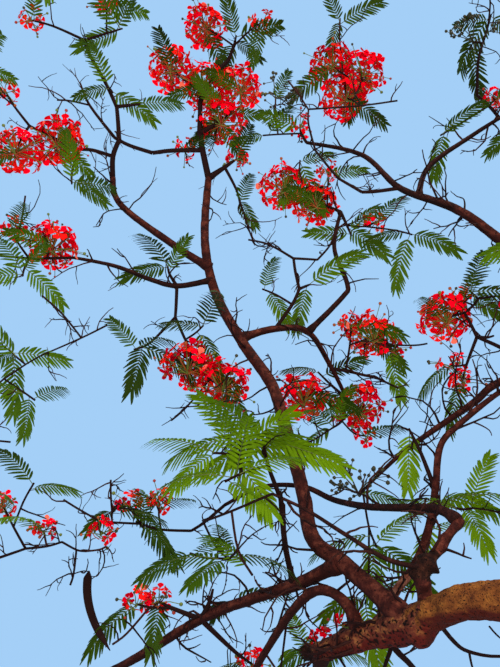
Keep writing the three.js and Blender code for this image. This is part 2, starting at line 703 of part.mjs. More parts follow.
function addNode(group, name, made, finish) {
  const mesh = made.getMesh();
  const geometry = new THREE.BufferGeometry();
  geometry.setAttribute('position', new THREE.BufferAttribute(mesh.vertProperties, 3));
  geometry.setIndex(new THREE.BufferAttribute(mesh.triVerts, 1));
  geometry.computeVertexNormals();
  const node = new THREE.Mesh(geometry, new THREE.MeshStandardMaterial(finish));
  node.name = name;
  group.add(node);
}

const tree = new THREE.Group();

// Wood: each limb is cut clear of what was placed before it
const wood = [{ room: trunkSolid(2 * SEAT) }];
function cutClear(made) {
  const close = wood.filter(({ room }) => near(made, room));
  return close.reduce((left, { room }) => left.subtract(room), made);
}
addNode(tree, 'trunk', trunkSolid(), barkFinish);
for (const [name, limb] of Object.entries(limbs)) {
  addNode(tree, name, whole(cutClear(limbSolid(limb))), barkFinish);
  wood.push({ room: limbSolid(limb, SEAT) });
  const line = limbLine(limb);
  addObstacle(name, line, limbRadii(limb, line, 0));
}

// Foliage: all the twigs grow first, and then the leaves keep clear of them
const grown = Object.entries(masses).map(([name, mass], i) => {
  const seed = i + 1;
  return { name, seed, twigs: growTwigs(name, mass, seed) };
});
for (const { name, seed, twigs } of grown) {
  const rivals = grown.filter((g) => g.name !== name).flatMap((g) => g.twigs.map((t) => t.head.at));
  const parts = twigs.flatMap((twig, i) => {
    const radii = twig.radii.map((r) => TWIG_WIDEN * r);
    const pieces = [tube(twig.line, radii, i === 0 && twig.radii[0] > 12 ? 5 : 3)];
    pieces.push(...leavesOf(name, twig, seed * 101 + i * 7 + 1, rivals).map(leafSolid));
    const { kind, at } = twig.head;
    if (kind in BLOOM_SIZES) pieces.push(bloomSolid(name, kind, at, seed * 53 + i + 1, rivals));
    if (kind === 'pod') pieces.push(podSolid(at));
    return pieces;
  });
  const mass = whole(cutClear(parts.reduce((a, b) => a.add(b))));
  addNode(tree, `${name}_foliage`, mass, foliageFinish);
}

export default tree;
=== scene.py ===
# The looks of a flame tree in bloom, seen from under its crown
import itertools
import math

import bpy
import numpy as np
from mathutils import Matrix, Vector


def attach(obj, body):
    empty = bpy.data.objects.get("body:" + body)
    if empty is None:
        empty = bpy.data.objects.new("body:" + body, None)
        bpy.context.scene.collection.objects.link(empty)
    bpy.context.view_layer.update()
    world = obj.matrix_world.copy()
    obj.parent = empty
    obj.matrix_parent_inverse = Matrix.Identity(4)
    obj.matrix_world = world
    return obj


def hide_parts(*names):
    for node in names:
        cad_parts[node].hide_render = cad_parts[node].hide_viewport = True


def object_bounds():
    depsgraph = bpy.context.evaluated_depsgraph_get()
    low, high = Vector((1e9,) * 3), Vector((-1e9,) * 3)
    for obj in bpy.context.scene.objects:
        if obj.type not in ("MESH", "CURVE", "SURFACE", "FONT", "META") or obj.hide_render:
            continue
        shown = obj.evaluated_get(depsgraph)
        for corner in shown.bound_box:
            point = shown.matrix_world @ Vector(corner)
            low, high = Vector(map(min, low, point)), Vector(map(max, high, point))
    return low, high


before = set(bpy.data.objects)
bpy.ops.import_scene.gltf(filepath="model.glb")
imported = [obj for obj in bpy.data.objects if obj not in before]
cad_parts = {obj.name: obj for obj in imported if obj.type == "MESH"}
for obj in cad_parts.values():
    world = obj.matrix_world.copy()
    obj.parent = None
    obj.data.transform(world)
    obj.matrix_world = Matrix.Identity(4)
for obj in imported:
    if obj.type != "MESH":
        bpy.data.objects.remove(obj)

CAD_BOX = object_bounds()

# Lengths are in millimetres, and the finished meshes, the camera and the lamps are placed in metres
MM = 0.001
CM = 10

# The camera stands under the crown and looks up into it. The photograph is 500 by 667 pixels.
EYE = (-2.3, -1.5, 1.55)
LOOK_UP = 55
SHORT_SIDE_ANGLE = 40
PHOTO = (500, 667)
SENSOR = 36

# The camera's focal length in pixels, and its ways ahead, to the right and upward
FOCAL = PHOTO[0] / 2 / math.tan(math.radians(SHORT_SIDE_ANGLE / 2))
AHEAD = np.array([0, math.cos(math.radians(LOOK_UP)), math.sin(math.radians(LOOK_UP))])
RIGHT = np.array([1.0, 0.0, 0.0])
UPWARD = np.array([0, -AHEAD[2], AHEAD[1]])

# The trunk
FORK_HEIGHT = 2300
TRUNK_RADIUS = 205
TRUNK_TAPER = 28
FORK_SWELL = 55
CROTCH_FROM = 0.6
FLARE = 150
FLARE_HEIGHT = 320
ROOT_LOBES = 5
LOBE_DEPTH = 0.55
LOBE_TURN = 0.6
LEAN = (-70, 30)
DOME = 90

# How much a limb swells where it leaves what carries it, how it tapers, and how soon an arching bough
# flattens
COLLAR = 0.25
TAPER = 0.9
FLATTEN = 1.7
ARCH_STEPS = 5
FEW_JOINTS = 4
SIDE_SWAY = -6
SIDE_JOINT = 2
SIDE_RADII = (46, 20)

# The crown's roof, and the heads that are dealt out under it
ROOF_HEIGHT = 6450
ROOF_FALL = 62
ROOF_GAP = 90
ROOF_DEPTH = 380
BLOOM_SHARE = 0.52

# Foliage, by the same sizes and rules as the solids
LEAF_LENGTH = 330
LEAF_WIDTH = 0.48
LEAF_WIDEST = 0.5
LEAF_THICK = 0.035
LEAF_DROOP = 0.1
LEAF_SUNK = 4
LEAF_FIRST = 12
LEAF_STEP = 42
LEAF_PITCH = (-0.35, 0.45)
LEAF_TURN = (-0.25, 0.25)
LEAF_SIZE = (0.85, 1.15)
LEAF_CLEAR = 32
LEAVES = {"leaf": 2}
BLOOM_RADIUS = {"bloom": 165, "posy": 99}
POD_LENGTH = 420
POD_WIDTH = 44
POD_THICK = 12
POD_CURVE = 175
TWIG_TIP = 5.5
STEM_RADIUS = (6, 0.5, 14)
TWIG_JOG = 0.09
TWIG_SAG = 0.16
TWIG_SHORT = 900
TWIG_SPANS = (2, 3)
POD_SAG = 2
TWIG_FOLLOW = (0.8, 0.35)
TWIG_BRANCH = 0.75
TWIG_KEEP = 0.85
TWIG_LEAVE = 0.35
TWIG_CLEAR = 4
HEAD_CLEAR = 12
SEAT = 0.35

# Finer growth than the solids have: more leaves for each head, and more heads where the photograph
# doesn't reach
MORE_LEAVES = {"leaf": 4, "bloom": 3, "posy": 1, "buds": 2}
MORE_IN_VIEW = {"leaf": 2, "bloom": 1, "posy": 1, "buds": 1}
MORE_SIZE = (0.7, 0.95)
MORE_STEP = 26
MORE_CLEAR = 6
MORE_HEADS = 5
LIMB_HEADS = 6
LIMB_HEADS_FROM = 2
HEAD_REACH = (220, 680)
HEAD_RISE = (-190, 70)
FINE_BLOOM_SHARE = 0.4
FINE_CLEAR = 12

# The growth rule's repeatable runs of numbers, and the seeds of the looks' own draws
DICE_STEP = 16807
DICE_SIZE = 2147483647
TWIG_SEEDS = (1009, 31)
LEAF_SEEDS = (101, 7)
FOLIAGE_SEED = 1000
LIMB_TWIG_SEED = 77

KINDS = ("way", "bloom", "posy", "leaf", "buds", "pod", "bare")
SQUARE_METRE = 1e6
TINY = 1e-9
GOLDEN = math.pi * (3 - math.sqrt(5))
UP = np.array([0.0, 0.0, 1.0])


def compass(degrees):
    """Level direction at an angle from +X."""
    a = math.radians(degrees)
    return np.array([math.cos(a), math.sin(a), 0.0])


def roof(x, y):
    """Height of the crown over a point of the ground."""
    return ROOF_HEIGHT - ROOF_FALL * (x * x + y * y) / SQUARE_METRE


def dice(seed):
    """A repeatable run of numbers from 0 to 1."""
    state = [seed]

    def roll():
        state[0] = state[0] * DICE_STEP % DICE_SIZE
        return state[0] / DICE_SIZE

    return roll


def between(limits, share):
    """A value between two limits, at a share of the way."""
    return limits[0] + (limits[1] - limits[0]) * share


def unit(p):
    """A direction, one unit long."""
    return p / max(np.linalg.norm(p), TINY)


def arch(start, heading, reach, rise, sway=8):
    """Joints of a bough that rises from a point and flattens as it spreads."""
    joints = []
    for t in np.arange(ARCH_STEPS + 1) / ARCH_STEPS:
        out = compass(heading + sway * math.sin(2 * math.pi * t)) * reach * t
        joints.append(start + out + UP * rise * (1 - (1 - t) ** FLATTEN))
    return joints


# The limbs: what carries each, its joints, its radius at the root and the tip, and its taper
LIMBS = {
    "west_bough": ("trunk", [(0, 0, 2080), (-700, 230, 2610), (-1460, 550, 2920), (-1660, 730, 2980),
        (-1820, 940, 3040), (-2070, 1230, 3120)], (104, 42), 1.05),
    "high_bough": ("trunk", [(0, 0, 2180), (-210, 110, 3000), (-480, 205, 3760), (-790, 250, 4420),
        (-1010, 140, 4740), (-1210, 50, 4920), (-1460, 40, 5170), (-1640, -40, 5470),
        (-1950, -30, 5710)], (84, 10), 1.3),
    "main_limb": ("west_bough", [(-1730, 800, 3010), (-1910, 880, 3300), (-2030, 910, 3460),
        (-2060, 890, 3720), (-2130, 820, 4080), (-2190, 750, 4310), (-2340, 690, 4590),
        (-2500, 570, 4920), (-2570, 390, 5230), (-2560, 170, 5630)], (35, 21), 0.6),
    "knob_limb": ("west_bough", [(-1660, 740, 2980), (-1670, 650, 3110), (-1590, 620, 3190),
        (-1500, 580, 3290)], (22, 17), TAPER),
    "pale_limb": ("west_bough", [(-1830, 950, 3045), (-1700, 1000, 3260), (-1600, 1020, 3390),
        (-1520, 960, 3520), (-1470, 840, 3670), (-1440, 700, 3800), (-1350, 630, 3870),
        (-1150, 540, 3990), (-1000, 480, 4030)], (21, 11), TAPER),
    "arched_limb": ("west_bough", [(-1870, 990, 3050), (-1910, 950, 3160), (-1980, 950, 3230),
        (-2050, 1010, 3260), (-2140, 1160, 3250), (-2270, 1460, 3200), (-2350, 1850, 3260),
        (-2400, 2300, 3420)], (24, 9), 1.3),
    "northwest_limb": ("west_bough", [(-2010, 1160, 3100), (-1990, 1480, 3130), (-1850, 1900, 3260),
        (-1750, 2350, 3400)], (30, 16), TAPER),
    "upper_left_limb": ("main_limb", [(-2532, 490, 5060), (-2740, 400, 5160), (-3080, 240, 5390),
        (-3140, 130, 5540)], (23, 17), TAPER),
    "left_limb": ("main_limb", [(-2516, 529, 4990), (-2720, 540, 4940), (-2880, 505, 4960),
        (-3090, 470, 5050), (-3330, 450, 5110)], (17, 9), TAPER),
    "centre_limb": ("main_limb", [(-2350, 680, 4620), (-2160, 680, 4710), (-1970, 730, 4750),
        (-1830, 930, 4670), (-1740, 1100, 4610)], (22, 10), TAPER),
    "centre_high_limb": ("centre_limb", [(-1970, 730, 4750), (-1760, 620, 4950), (-1730, 570, 5010),
        (-1790, 460, 5250), (-1740, 320, 5460)], (17, 11), TAPER),
    "low_limb": ("main_limb", [(-1930, 890, 3320), (-2090, 1070, 3350), (-2300, 1260, 3400),
        (-2530, 1430, 3410), (-2940, 1800, 3390), (-3430, 2230, 3420)], (29, 15), TAPER),
    "upright_limb": ("low_limb", [(-2110, 1090, 3355), (-2150, 920, 3430),
        (-2170, 740, 3530)], (14, 11), TAPER),
    "knob_cross_limb": ("knob_limb", [(-1510, 580, 3280), (-1560, 620, 3370), (-1670, 750, 3490),
        (-1780, 870, 3600), (-1900, 1020, 3770), (-2040, 1070, 3900), (-2240, 1150, 3970),
        (-2430, 1240, 3930)], (19, 9), TAPER),
    "front_limb": ("knob_limb", [(-1650, 640, 3110), (-1800, 600, 3120), (-1940, 610, 3240),
        (-2070, 630, 3370), (-2210, 620, 3450)], (10, 6), TAPER),
    "right_limb": ("high_bough", [(-480, 205, 3760), (-800, 420, 4130), (-1080, 640, 4180),
        (-1200, 740, 4140), (-1500, 950, 4050), (-1660, 1070, 3970)], (31, 9), TAPER),
    "high_right_limb": ("high_bough", [(-1375, 45, 5075), (-1270, -20, 5340), (-1000, -130, 5530),
        (-810, -200, 5650)], (17, 11), TAPER),
    "south_bough": ("trunk", arch((0, 0, 2100), 258, 2500, 2700), (86, 24), TAPER),
    "southeast_bough": ("trunk", arch((0, 0, 2060), 312, 2700, 2650), (92, 24), TAPER),
    "east_bough": ("trunk", arch((0, 0, 2120), 6, 2700, 2750), (88, 24), TAPER),
    "northeast_bough": ("trunk", arch((0, 0, 2050), 62, 2600, 2600), (90, 24), TAPER),
}
SIDE_LIMBS = [
    ("southwest_limb", "south_bough", 212, 2100, 1200),
    ("east_low_limb", "southeast_bough", 343, 2050, 1050),
    ("east_high_limb", "east_bough", 37, 2100, 1050),
    ("north_limb", "northeast_bough", 86, 1900, 950),
]
for side_name, carrier, heading, reach, rise in SIDE_LIMBS:
    side_joints = arch(LIMBS[carrier][1][SIDE_JOINT], heading, reach, rise, SIDE_SWAY)
    LIMBS[side_name] = (carrier, side_joints, SIDE_RADII, TAPER)

MASSES = {}


def sighted(across, down, ahead):
    """A place by its pixel in the photograph and its distance ahead in metres, to the centimetre."""
    x, y = (across - PHOTO[0] / 2) / FOCAL, (PHOTO[1] / 2 - down) / FOCAL
    place = np.array(EYE) + ahead * (AHEAD + RIGHT * x + UPWARD * y)
    return np.round(place / MM / CM) * CM


def measured(*place):
    """A place in centimetres."""
    return np.array(place, float) * CM


def mass(name, carrier, joint, place, **heads):
    """A mass of foliage: its limb, the joint or None for the limb's tip, and its heads' places."""
    MASSES[name] = (carrier, joint, {kind: [place(*at) for at in listed] for kind, listed in heads.items()})


# The masses in the photograph. Each head is placed on it, at a guessed distance.
mass("crown_top_west", "main_limb", None, sighted,
     way=[(200, 133, 4.36), (152, 152, 4.3), (200, 102, 4.42), (114, 137, 4.26), (228, 60, 4.48)],
     bloom=[(205, 28, 4.5), (172, 70, 4.45), (204, 86, 4.4), (240, 90, 4.4), (222, 122, 4.36)],
     posy=[(262, 22, 4.4), (186, 150, 4.35), (238, 158, 4.3)],
     leaf=[(236, 36, 4.5), (232, 112, 4.4), (240, 205, 4.2)],
     bare=[(57, 100, 4.2), (80, 84, 4.25), (255, 245, 4.1)])
mass("upper_left", "upper_left_limb", None, sighted,
     way=[(119, 140, 4.2), (80, 149, 4.15), (117, 106, 4.22), (30, 126, 4.08), (100, 72, 4.2),
          (84, 40, 4.15)],
     bloom=[(18, 150, 4.0), (58, 142, 4.05)],
     posy=[(32, 20, 4.0), (106, 2, 4.1), (6, 92, 4.0)],
     leaf=[(122, 28, 4.1), (112, 92, 4.15), (140, 104, 4.2), (72, 184, 4.05), (-30, 60, 3.9)])
mass("left", "left_limb", None, sighted,
     way=[(30, 258, 3.95), (-40, 246, 3.85)],
     bloom=[(55, 246, 4.0), (-95, 235, 3.8)],
     posy=[(12, 228, 3.9)],
     leaf=[(22, 276, 3.9), (-60, 290, 3.75), (-70, 190, 3.8)],
     bare=[(25, 196, 4.0)])
mass("under_left", "left_limb", 1, sighted,
     way=[(175, 318, 3.95), (192, 352, 3.85)],
     bloom=[(188, 366, 3.8), (222, 385, 3.7)],
     leaf=[(134, 350, 3.9), (168, 266, 4.0), (203, 326, 3.85)],
     bare=[(171, 420, 3.75)])
mass("centre", "centre_limb", None, sighted,
     bloom=[(304, 398, 4.0), (358, 408, 4.0)],
     posy=[(366, 436, 3.98)],
     leaf=[(318, 372, 4.05), (332, 428, 3.95)],
     bare=[(296, 446, 3.9)])
mass("centre_high", "centre_high_limb", None, sighted,
     bloom=[(284, 188, 4.3), (316, 204, 4.28)],
     posy=[(328, 172, 4.28), (376, 222, 4.2)],
     leaf=[(352, 236, 4.2), (412, 234, 4.1), (300, 160, 4.25)])
mass("centre_cross", "centre_limb", 1, sighted,
     way=[(300, 290, 3.9), (294, 258, 3.95), (317, 260, 3.98)],
     leaf=[(310, 284, 4.0), (262, 290, 3.9)],
     bare=[(334, 238, 4.02), (248, 240, 3.9)])
mass("right_ball", "centre_limb", 3, sighted,
     way=[(352, 373, 3.95), (374, 376, 3.97)],
     bloom=[(372, 336, 4.0)],
     posy=[(350, 324, 4.02), (394, 350, 3.98)],
     bare=[(398, 388, 4.0), (427, 343, 4.0)])
mass("right_bloom", "pale_limb", None, sighted,
     way=[(478, 338, 3.6), (464, 313, 3.72), (478, 299, 3.8), (506, 296, 3.85)],
     bloom=[(444, 318, 3.78), (530, 300, 3.8)],
     posy=[(450, 366, 3.6), (463, 383, 3.62), (462, 300, 3.8)],
     leaf=[(470, 290, 3.85)],
     bare=[(494, 336, 3.7)])
mass("right_leaves", "pale_limb", 4, sighted,
     leaf=[(440, 506, 3.1), (428, 534, 3.05), (474, 508, 3.05)],
     bare=[(408, 428, 3.2)])
mass("right_twigs", "right_limb", None, sighted,
     buds=[(358, 494, 3.3)],
     leaf=[(376, 548, 3.2), (300, 650, 3.5), (366, 604, 3.4)],
     posy=[(322, 640, 3.45), (348, 624, 3.4)])
mass("low_bloom", "low_limb", 3, sighted,
     posy=[(136, 604, 3.2), (158, 602, 3.22), (252, 664, 3.3)],
     leaf=[(236, 600, 3.25)],
     bare=[(112, 645, 3.2), (213, 590, 3.15)])
mass("low_left", "low_limb", None, sighted,
     bloom=[(-70, 640, 3.9), (10, 760, 4.2)],
     leaf=[(-75, 742, 4.0), (-145, 620, 3.8), (-110, 560, 3.75), (-20, 800, 4.3)])
mass("left_edge", "low_limb", 4, sighted,
     way=[(56, 698, 3.4), (-30, 636, 3.5), (-30, 566, 3.52), (26, 549, 3.52), (62, 542, 3.5),
          (86, 552, 3.47), (-56, 490, 3.5), (-30, 410, 3.5), (4, 378, 3.52), (40, 356, 3.58)],
     posy=[(4, 508, 3.55), (44, 530, 3.5)],
     leaf=[(36, 400, 3.55), (12, 352, 3.6), (34, 482, 3.5)],
     pod=[(88, 573, 3.45)],
     bare=[(42, 296, 3.6), (107, 325, 3.65), (10, 442, 3.5), (70, 586, 3.4), (106, 546, 3.45)])
mass("near_tuft", "upright_limb", None, sighted,
     leaf=[(240, 438, 2.8), (212, 452, 2.75), (262, 436, 2.85), (226, 482, 2.75)])
mass("near_left", "front_limb", None, sighted,
     leaf=[(190, 552, 3.1), (222, 560, 3.0), (252, 574, 2.95)],
     bare=[(205, 520, 2.9)])
mass("low_left_bloom", "knob_cross_limb", None, sighted,
     way=[(192, 530, 3.5), (140, 524, 3.5), (98, 522, 3.5)],
     posy=[(160, 502, 3.5), (130, 506, 3.48), (100, 532, 3.45)],
     leaf=[(142, 528, 3.45), (114, 506, 3.45)],
     bare=[(64, 499, 3.5), (110, 480, 3.5), (232, 560, 3.4)])
mass("big_bloom", "high_bough", 6, sighted,
     way=[(362, 192, 3.93), (338, 178, 3.96), (316, 150, 4.0), (308, 110, 4.12)],
     bloom=[(332, 66, 4.45), (362, 74, 4.4), (345, 98, 4.3)],
     leaf=[(340, 18, 4.5)],
     bare=[(288, 80, 4.15), (398, 100, 4.05)])
mass("high_left", "high_bough", None, sighted,
     posy=[(300, 126, 4.25)],
     leaf=[(262, 136, 4.3)],
     buds=[(276, 98, 4.3)])
mass("high_right", "high_right_limb", None, sighted,
     way=[(476, 96, 4.15), (482, 44, 4.22)],
     posy=[(496, 98, 4.1)],
     leaf=[(440, 136, 4.0), (492, 14, 4.3), (540, 120, 4.0)],
     buds=[(472, 42, 4.2)],
     bare=[(489, -8, 4.3)])

# Two masses just outside it
mass("northwest", "northwest_limb", None, measured,
     bloom=[(-175, 300, 385), (-90, 330, 390), (-135, 395, 385)],
     leaf=[(-130, 285, 362), (-60, 265, 380), (-50, 395, 395), (-150, 435, 360)])
mass("arched", "arched_limb", None, measured,
     bloom=[(-245, 275, 365), (-275, 335, 375)],
     leaf=[(-230, 315, 350), (-290, 270, 350), (-265, 400, 350)])
NORTHWEST = ["northwest", "arched"]
WEST = [name for name in MASSES if name not in NORTHWEST]

# Masses whose heads are dealt out under the roof: the limb, the joint, the heading and distance of
# the middle, the plan radius, the number of heads and the seed
DEALT = [
    ("top", "high_bough", 3, 300, 350, 900, 5, 3),
    ("southwest", "southwest_limb", None, 226, 3500, 1250, 6, 5),
    ("south", "south_bough", None, 262, 3700, 1200, 6, 7),
    ("southeast", "southeast_bough", None, 304, 3800, 1200, 6, 11),
    ("east_low", "east_low_limb", None, 338, 3900, 1150, 6, 13),
    ("east", "east_bough", None, 8, 3800, 1150, 6, 17),
    ("east_high", "east_high_limb", None, 36, 3900, 1050, 6, 19),
    ("northeast", "northeast_bough", None, 58, 3750, 950, 5, 23),
    ("north", "north_limb", None, 79, 3850, 900, 5, 41),
    ("inner_south", "south_bough", 3, 255, 1750, 850, 5, 29),
    ("inner_east", "southeast_bough", 3, 330, 1900, 950, 5, 31),
    ("inner_north", "northeast_bough", 3, 62, 1900, 950, 5, 37),
]
SOUTH = ["top", "southwest", "south", "southeast", "inner_south"]
NORTH = NORTHWEST + ["north", "northeast", "inner_north"]
EAST = ["east_low", "east", "east_high", "inner_east"]
SEED_STEP = 7919
for mass_name, carrier, joint, heading, out, radius, count, seed in DEALT:
    roll = dice(seed * SEED_STEP)
    middle = compass(heading) * out
    dealt = {"bloom": [], "leaf": []}
    for k in range(count):
        ring = radius * math.sqrt((k + 0.5) / count)
        x = middle[0] + ring * math.cos(k * GOLDEN + seed)
        y = middle[1] + ring * math.sin(k * GOLDEN + seed)
        z = roof(x, y) - ROOF_GAP - ROOF_DEPTH * roll()
        dealt["bloom" if roll() < BLOOM_SHARE else "leaf"].append(np.array([x, y, z]))
    MASSES[mass_name] = (carrier, joint, dealt)


def bend(joints, steps):
    """A smooth curve through the joints."""
    p = np.array(joints, float)
    line = []
    for i in range(len(p) - 1):
        leaving = (p[i + 1] - p[max(i - 1, 0)]) / 2
        arriving = (p[min(i + 2, len(p) - 1)] - p[i]) / 2
        for t in np.arange(steps) / steps:
            line.append(p[i] * (1 + 2 * t) * (1 - t) ** 2 + leaving * t * (1 - t) ** 2
                        + p[i + 1] * t * t * (3 - 2 * t) + arriving * t * t * (t - 1))
    return np.array(line + [p[-1]])


def lengths(line):
    """Length along a line up to each of its points."""
    return np.concatenate([[0], np.cumsum(np.linalg.norm(np.diff(line, axis=0), axis=1))])


def limb_radii(name, line):
    """A collar at the root, then a taper to the tip."""
    _, _, (root, tip), power = LIMBS[name]
    s = lengths(line)
    taper = tip + (root - tip) * (1 - s / s[-1]) ** power
    return taper * (1 + COLLAR * np.exp(-s / (2 * root)))


class Obstacles:
    """Stretches of limbs and twigs that foliage keeps clear of."""

    def __init__(self):
        self.owners = []
        self.ends = np.zeros((0, 2, 3))
        self.radii = np.zeros(0)

    def add(self, owner, line, radii):
        self.owners += [owner] * (len(line) - 1)
        self.ends = np.concatenate([self.ends, np.stack([line[:-1], line[1:]], 1)])
        self.radii = np.concatenate([self.radii, np.maximum(radii[:-1], radii[1:])])

    def blocks(self, own, a, b, room):
        """Whether the stretch from a to b comes nearer than room to what isn't its own."""
        c, d = self.ends[:, 0], self.ends[:, 1]
        u, w, r = b - a, d - c, a - c
        uu, ww = u @ u, np.einsum("ij,ij->i", w, w)
        uw, ur, wr = w @ u, r @ u, np.einsum("ij,ij->i", w, r)
        det = uu * ww - uw * uw
        crossing = det > TINY
        s = np.where(crossing, np.clip((uw * wr - ur * ww) / np.where(crossing, det, 1), 0, 1), 0)
        t = np.clip((uw * s + wr) / ww, 0, 1)
        s = np.clip((uw * t - ur) / uu, 0, 1)
        gap = np.linalg.norm(a + s[:, None] * u - (c + t[:, None] * w), axis=1)
        return any(self.owners[i] not in own for i in np.flatnonzero(gap < self.radii + room))

    def block_any(self, own, line, rooms):
        """Whether any stretch of a line comes too near to what isn't its own."""
        return any(self.blocks(own, a, b, room) for a, b, room in zip(line, line[1:], rooms))


obstacles = Obstacles()
for limb_name, limb in LIMBS.items():
    limb_line = bend(limb[1], 1 if len(limb[1]) > FEW_JOINTS else 2)
    obstacles.add(limb_name, limb_line, limb_radii(limb_name, limb_line))


def grow_twigs(name, seed):
    """Twigs of a mass: each head is reached by a bowed twig from the nearest point that has grown."""
    carrier, joint, kinds = MASSES[name]
    _, route, (_, limb_tip), _ = LIMBS[carrier]
    root = np.array(route[-1 if joint is None else joint], float)
    heads = [(kind, at) for kind in KINDS for at in kinds.get(kind, [])]
    heads.sort(key=lambda head: 0 if head[0] == "way" else np.linalg.norm(head[1] - root))
    least, share, most = STEM_RADIUS
    along, radius = None, min(most, share * limb_tip + least)
    if joint is None:
        along, radius = unit(root - np.array(route[-2], float)), limb_tip
        root = root + along * 2 * SEAT
    grown = [(root, along, radius, True)]
    twigs = []
    for index, (kind, at) in enumerate(heads):
        roll = dice(seed * TWIG_SEEDS[0] + index * TWIG_SEEDS[1] + 1)
        start, start_along, start_radius, goes_on = min(grown, key=lambda g: np.linalg.norm(g[0] - at))
        length = np.linalg.norm(at - start)
        leave = unit(at - start)
        if start_along is not None:
            follow = TWIG_FOLLOW[1 if twigs else 0]
            leave = leave * (1 - follow) + start_along * follow
        c1 = start + leave * TWIG_LEAVE * length
        c2 = at + UP * (POD_SAG if kind == "pod" else -1) * TWIG_SAG * length
        spans = TWIG_SPANS[0 if length < TWIG_SHORT else 1]
        line = []
        for i in range(spans + 1):
            t = i / spans
            p = start * (1 - t) ** 3 + c1 * 3 * t * (1 - t) ** 2 + c2 * 3 * t * t * (1 - t) + at * t ** 3
            jog = TWIG_JOG * length if 0 < i < spans else 0
            line.append(p + jog * (np.array([roll(), roll(), roll()]) - 0.5))
        line = np.array(line)
        thick = start_radius if goes_on else max(TWIG_TIP, TWIG_BRANCH * start_radius)
        thin = TWIG_KEEP * thick if kind == "way" else TWIG_TIP
        radii = thick + (thin - thick) * np.arange(spans + 1) / spans
        if obstacles.block_any((name, carrier), line, radii + TWIG_CLEAR):
            continue
        for i in range(1, spans):
            grown.append((line[i], unit(line[i + 1] - line[i - 1]), radii[i], False))
        if kind == "way":
            grown.append((at, unit(at - line[-2]), thin, True))
        obstacles.add(name, line, radii)
        twigs.append({"line": line, "radii": radii, "kind": kind, "at": at})
    return twigs


def leaf_blade(root, azimuth, pitch, turn, length):
    """Root, tip, side direction and rim of a leaf, as in the solids."""
    level = math.cos(pitch)
    out = np.array([math.cos(azimuth) * level, math.sin(azimuth) * level, math.sin(pitch)])
    side = unit(np.cross(UP, out))
    side = side * math.cos(turn) + np.cross(out, side) * math.sin(turn)
    middle = root + out * LEAF_WIDEST * length + np.cross(out, side) * LEAF_THICK * length
    half = LEAF_WIDTH * length / 2
    start = root - out * LEAF_SUNK
    tip = root + out * length - UP * LEAF_DROOP * length
    rim = [start, middle + side * half, tip, middle - side * half]
    return {"root": start, "tip": tip, "side": side, "rim": rim}


def leaves_of(name, twig, seed, rivals, extra):
    """The leaves that a twig bears near its tip in the solids, and smaller ones between them."""
    roll = dice(seed)
    end, back = twig["line"][-1], unit(twig["line"][-2] - twig["line"][-1])
    base = LEAVES.get(twig["kind"], 0)
    blades = []
    for k in range(base + extra):
        coarse = k < base
        root = end + back * (LEAF_FIRST + (LEAF_STEP * k if coarse else MORE_STEP * (k - base)))
        pitch, turn, size = (between(limits, roll()) for limits in (LEAF_PITCH, LEAF_TURN, LEAF_SIZE))
        length = LEAF_LENGTH * size * (1 if coarse else between(MORE_SIZE, roll()))
        blade = leaf_blade(root, k * GOLDEN + seed, pitch, turn, length)
        rim = blade["rim"]
        spokes = [(rim[0], rim[2]), (rim[1], rim[3])]
        if coarse:
            own = np.linalg.norm(np.array(rim[1:]) - twig["at"], axis=1) + HEAD_CLEAR
            others = np.linalg.norm(np.array(rim[1:])[:, None] - rivals[None], axis=2)
            if (others < own[:, None]).any():
                continue
            spokes += [(rim[i], rim[(i + 1) % 4]) for i in range(4)]
        room = LEAF_CLEAR if coarse else MORE_CLEAR
        if not any(obstacles.blocks((name,), a, b, room) for a, b in spokes):
            blades.append(blade)
    return blades


class Pile:
    """A growing mesh: points, triangles and a paint for each triangle."""

    def __init__(self):
        self.parts, self.count = [], 0

    def add(self, points, faces, paint=0):
        faces = np.asarray(faces)
        self.parts.append((np.asarray(points, float), faces + self.count, np.broadcast_to(paint, len(faces))))
        self.count += len(points)

    def merged(self):
        """All the points, the triangles and their paints."""
        return [np.concatenate(column) for column in zip(*self.parts)]

    def piece(self, name, materials, slot, nodes, smooth=True):
        """Makes the mesh an object of the scene that stands in for solids."""
        points, faces, paints = self.merged()
        mesh = bpy.data.meshes.new(name)
        mesh.from_pydata((points * MM).tolist(), [], faces.tolist())
        for material in materials:
            mesh.materials.append(material)
        mesh.polygons.foreach_set("material_index", paints.astype(np.int32))
        mesh.polygons.foreach_set("use_smooth", np.full(len(faces), smooth))
        mesh.validate()
        piece = bpy.data.objects.new(name, mesh)
        bpy.context.scene.collection.objects.link(piece)
        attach(piece, "root")
        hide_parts(*nodes)
        return piece


def sheet_faces(rows, columns):
    """Triangles between rows of points that are open at both ends."""
    faces = []
    for row in range(rows - 1):
        a = row * columns + np.arange(columns - 1)
        b = a + columns
        faces += [np.stack([a, a + 1, b + 1], 1), np.stack([a, b + 1, b], 1)]
    return np.concatenate(faces)


def grid_faces(rows, sides):
    """Triangles between rings of points, with a cap at either end."""
    i, k = np.meshgrid(np.arange(rows - 1), np.arange(sides), indexing="ij")
    a = (i * sides + k).ravel()
    b = (i * sides + (k + 1) % sides).ravel()
    k = np.arange(1, sides - 1)
    last = (rows - 1) * sides
    return np.concatenate([
        np.stack([a, b, b + sides], 1), np.stack([a, b + sides, a + sides], 1),
        np.stack([k * 0, k + 1, k], 1), np.stack([k * 0 + last, k + last, k + 1 + last], 1)])


RING_SIDE = np.array([0.31, 0.85, 0.42])
NOISE_ROWS = 512


